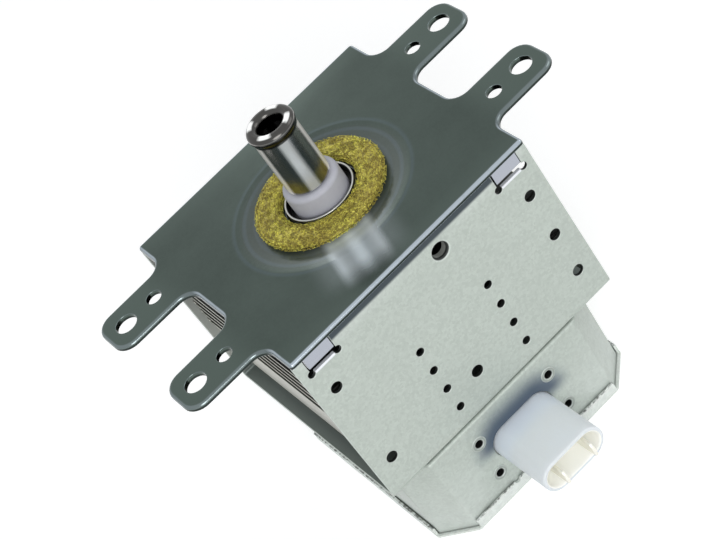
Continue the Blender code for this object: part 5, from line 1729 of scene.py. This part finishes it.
class MAGNETRON_OT_antenna(Operator):
    """Makes the cap, the ceramic tube and the cup that carries it"""

    bl_idname = "magnetron.antenna"
    bl_label = "Antenna"
    bl_options = {"REGISTER", "UNDO"}

    def execute(self, context):
        stands_for(build_cap(), "stainless", "antenna_cap")
        stands_for(build_ceramic(), "white_ceramic", "antenna_ceramic")
        stands_for(build_upper_seal(), "stainless", "upper_seal")
        return {"FINISHED"}


class MAGNETRON_OT_gasket(Operator):
    """Makes the ring of knitted wire"""

    bl_idname = "magnetron.gasket"
    bl_label = "Gasket"
    bl_options = {"REGISTER", "UNDO"}

    def execute(self, context):
        stands_for(build_gasket(), "brass_mesh", "rf_gasket")
        return {"FINISHED"}


class MAGNETRON_OT_tube(Operator):
    """Makes the magnets, the anode's cylinder and the pole pieces"""

    bl_idname = "magnetron.tube"
    bl_label = "Tube and magnets"
    bl_options = {"REGISTER", "UNDO"}

    def execute(self, context):
        for name, low in MAGNETS.items():
            stands_for(build_magnet(name, low), "ferrite", name)
        stands_for(build_anode(), "copper", "anode_cylinder")
        stands_for(build_pole("upper_pole", False), "plated_steel", "upper_pole_piece")
        stands_for(build_pole("lower_pole", True), "plated_steel", "lower_pole_piece")
        return {"FINISHED"}


class MAGNETRON_OT_fins(Operator):
    """Makes the cooling fins round the anode"""

    bl_idname = "magnetron.fins"
    bl_label = "Cooling fins"
    bl_options = {"REGISTER", "UNDO"}

    def execute(self, context):
        stands_for(build_guide_fin(), "aluminium", "cooling_fin_1")
        stands_for(build_fin_stack(), "aluminium", *(f"cooling_fin_{n}" for n in range(2, FINS + 1)))
        return {"FINISHED"}


INNER_FINISHES = {
    "copper": "copper", "tungsten": "dark_metal", "molybdenum": "dark_metal", "white_ceramic": "ceramic",
    "ferrite": "ferrite", "galvanised_steel": "zinc", "brown_resin": "resin", "stainless": "seal",
    "plated_steel": "pole", "aluminium": "fin", "white_plastic": "plastic", "tinned_brass": "tin",
    "brass_mesh": "core",
}


class MAGNETRON_OT_inner_parts(Operator):
    """Gives the solids inside the tube and the filter box their finishes"""

    bl_idname = "magnetron.inner_parts"
    bl_label = "Inner parts"
    bl_options = {"REGISTER", "UNDO"}

    def execute(self, context):
        slots = {part["node"]: part["material_slot"] for part in frame["record"]["subparts"]}
        for name, node in frame["nodes"].items():
            finish = finish_of(INNER_FINISHES[slots[name]])
            node.data.materials.clear()
            node.data.materials.append(finish)
        return {"FINISHED"}


class MAGNETRON_OT_stage(Operator):
    """Sets the floor, the lamps and the camera"""

    bl_idname = "magnetron.stage"
    bl_label = "Stage"
    bl_options = {"REGISTER", "UNDO"}

    def execute(self, context):
        build_stage()
        return {"FINISHED"}


class MAGNETRON_PT_looks(Panel):
    """Lists the settings and the operators"""

    bl_idname = "MAGNETRON_PT_looks"
    bl_label = "Magnetron"
    bl_space_type = "VIEW_3D"
    bl_region_type = "UI"
    bl_category = "Magnetron"

    def draw(self, context):
        for settings in (context.scene.magnetron_sizes, context.scene.magnetron_colours):
            for name in settings.bl_rna.properties.keys():
                if name not in ("name", "rna_type"):
                    self.layout.prop(settings, name)
        for operator in OPERATORS:
            self.layout.operator(operator.bl_idname)


OPERATORS = (
    MAGNETRON_OT_plate, MAGNETRON_OT_yoke, MAGNETRON_OT_filter_box, MAGNETRON_OT_connector,
    MAGNETRON_OT_antenna, MAGNETRON_OT_gasket, MAGNETRON_OT_tube, MAGNETRON_OT_fins,
    MAGNETRON_OT_inner_parts, MAGNETRON_OT_stage,
)
CLASSES = (MagnetronSizes, MagnetronColours, *OPERATORS, MAGNETRON_PT_looks)


def register():
    for item in CLASSES:
        bpy.utils.register_class(item)
    bpy.types.Scene.magnetron_sizes = PointerProperty(type=MagnetronSizes)
    bpy.types.Scene.magnetron_colours = PointerProperty(type=MagnetronColours)


def unregister():
    del bpy.types.Scene.magnetron_colours
    del bpy.types.Scene.magnetron_sizes
    for item in reversed(CLASSES):
        bpy.utils.unregister_class(item)


def main():
    register()
    for operator in OPERATORS:
        category, name = operator.bl_idname.split(".")
        getattr(getattr(bpy.ops, category), name)()


if __name__ == "__main__":
    main()
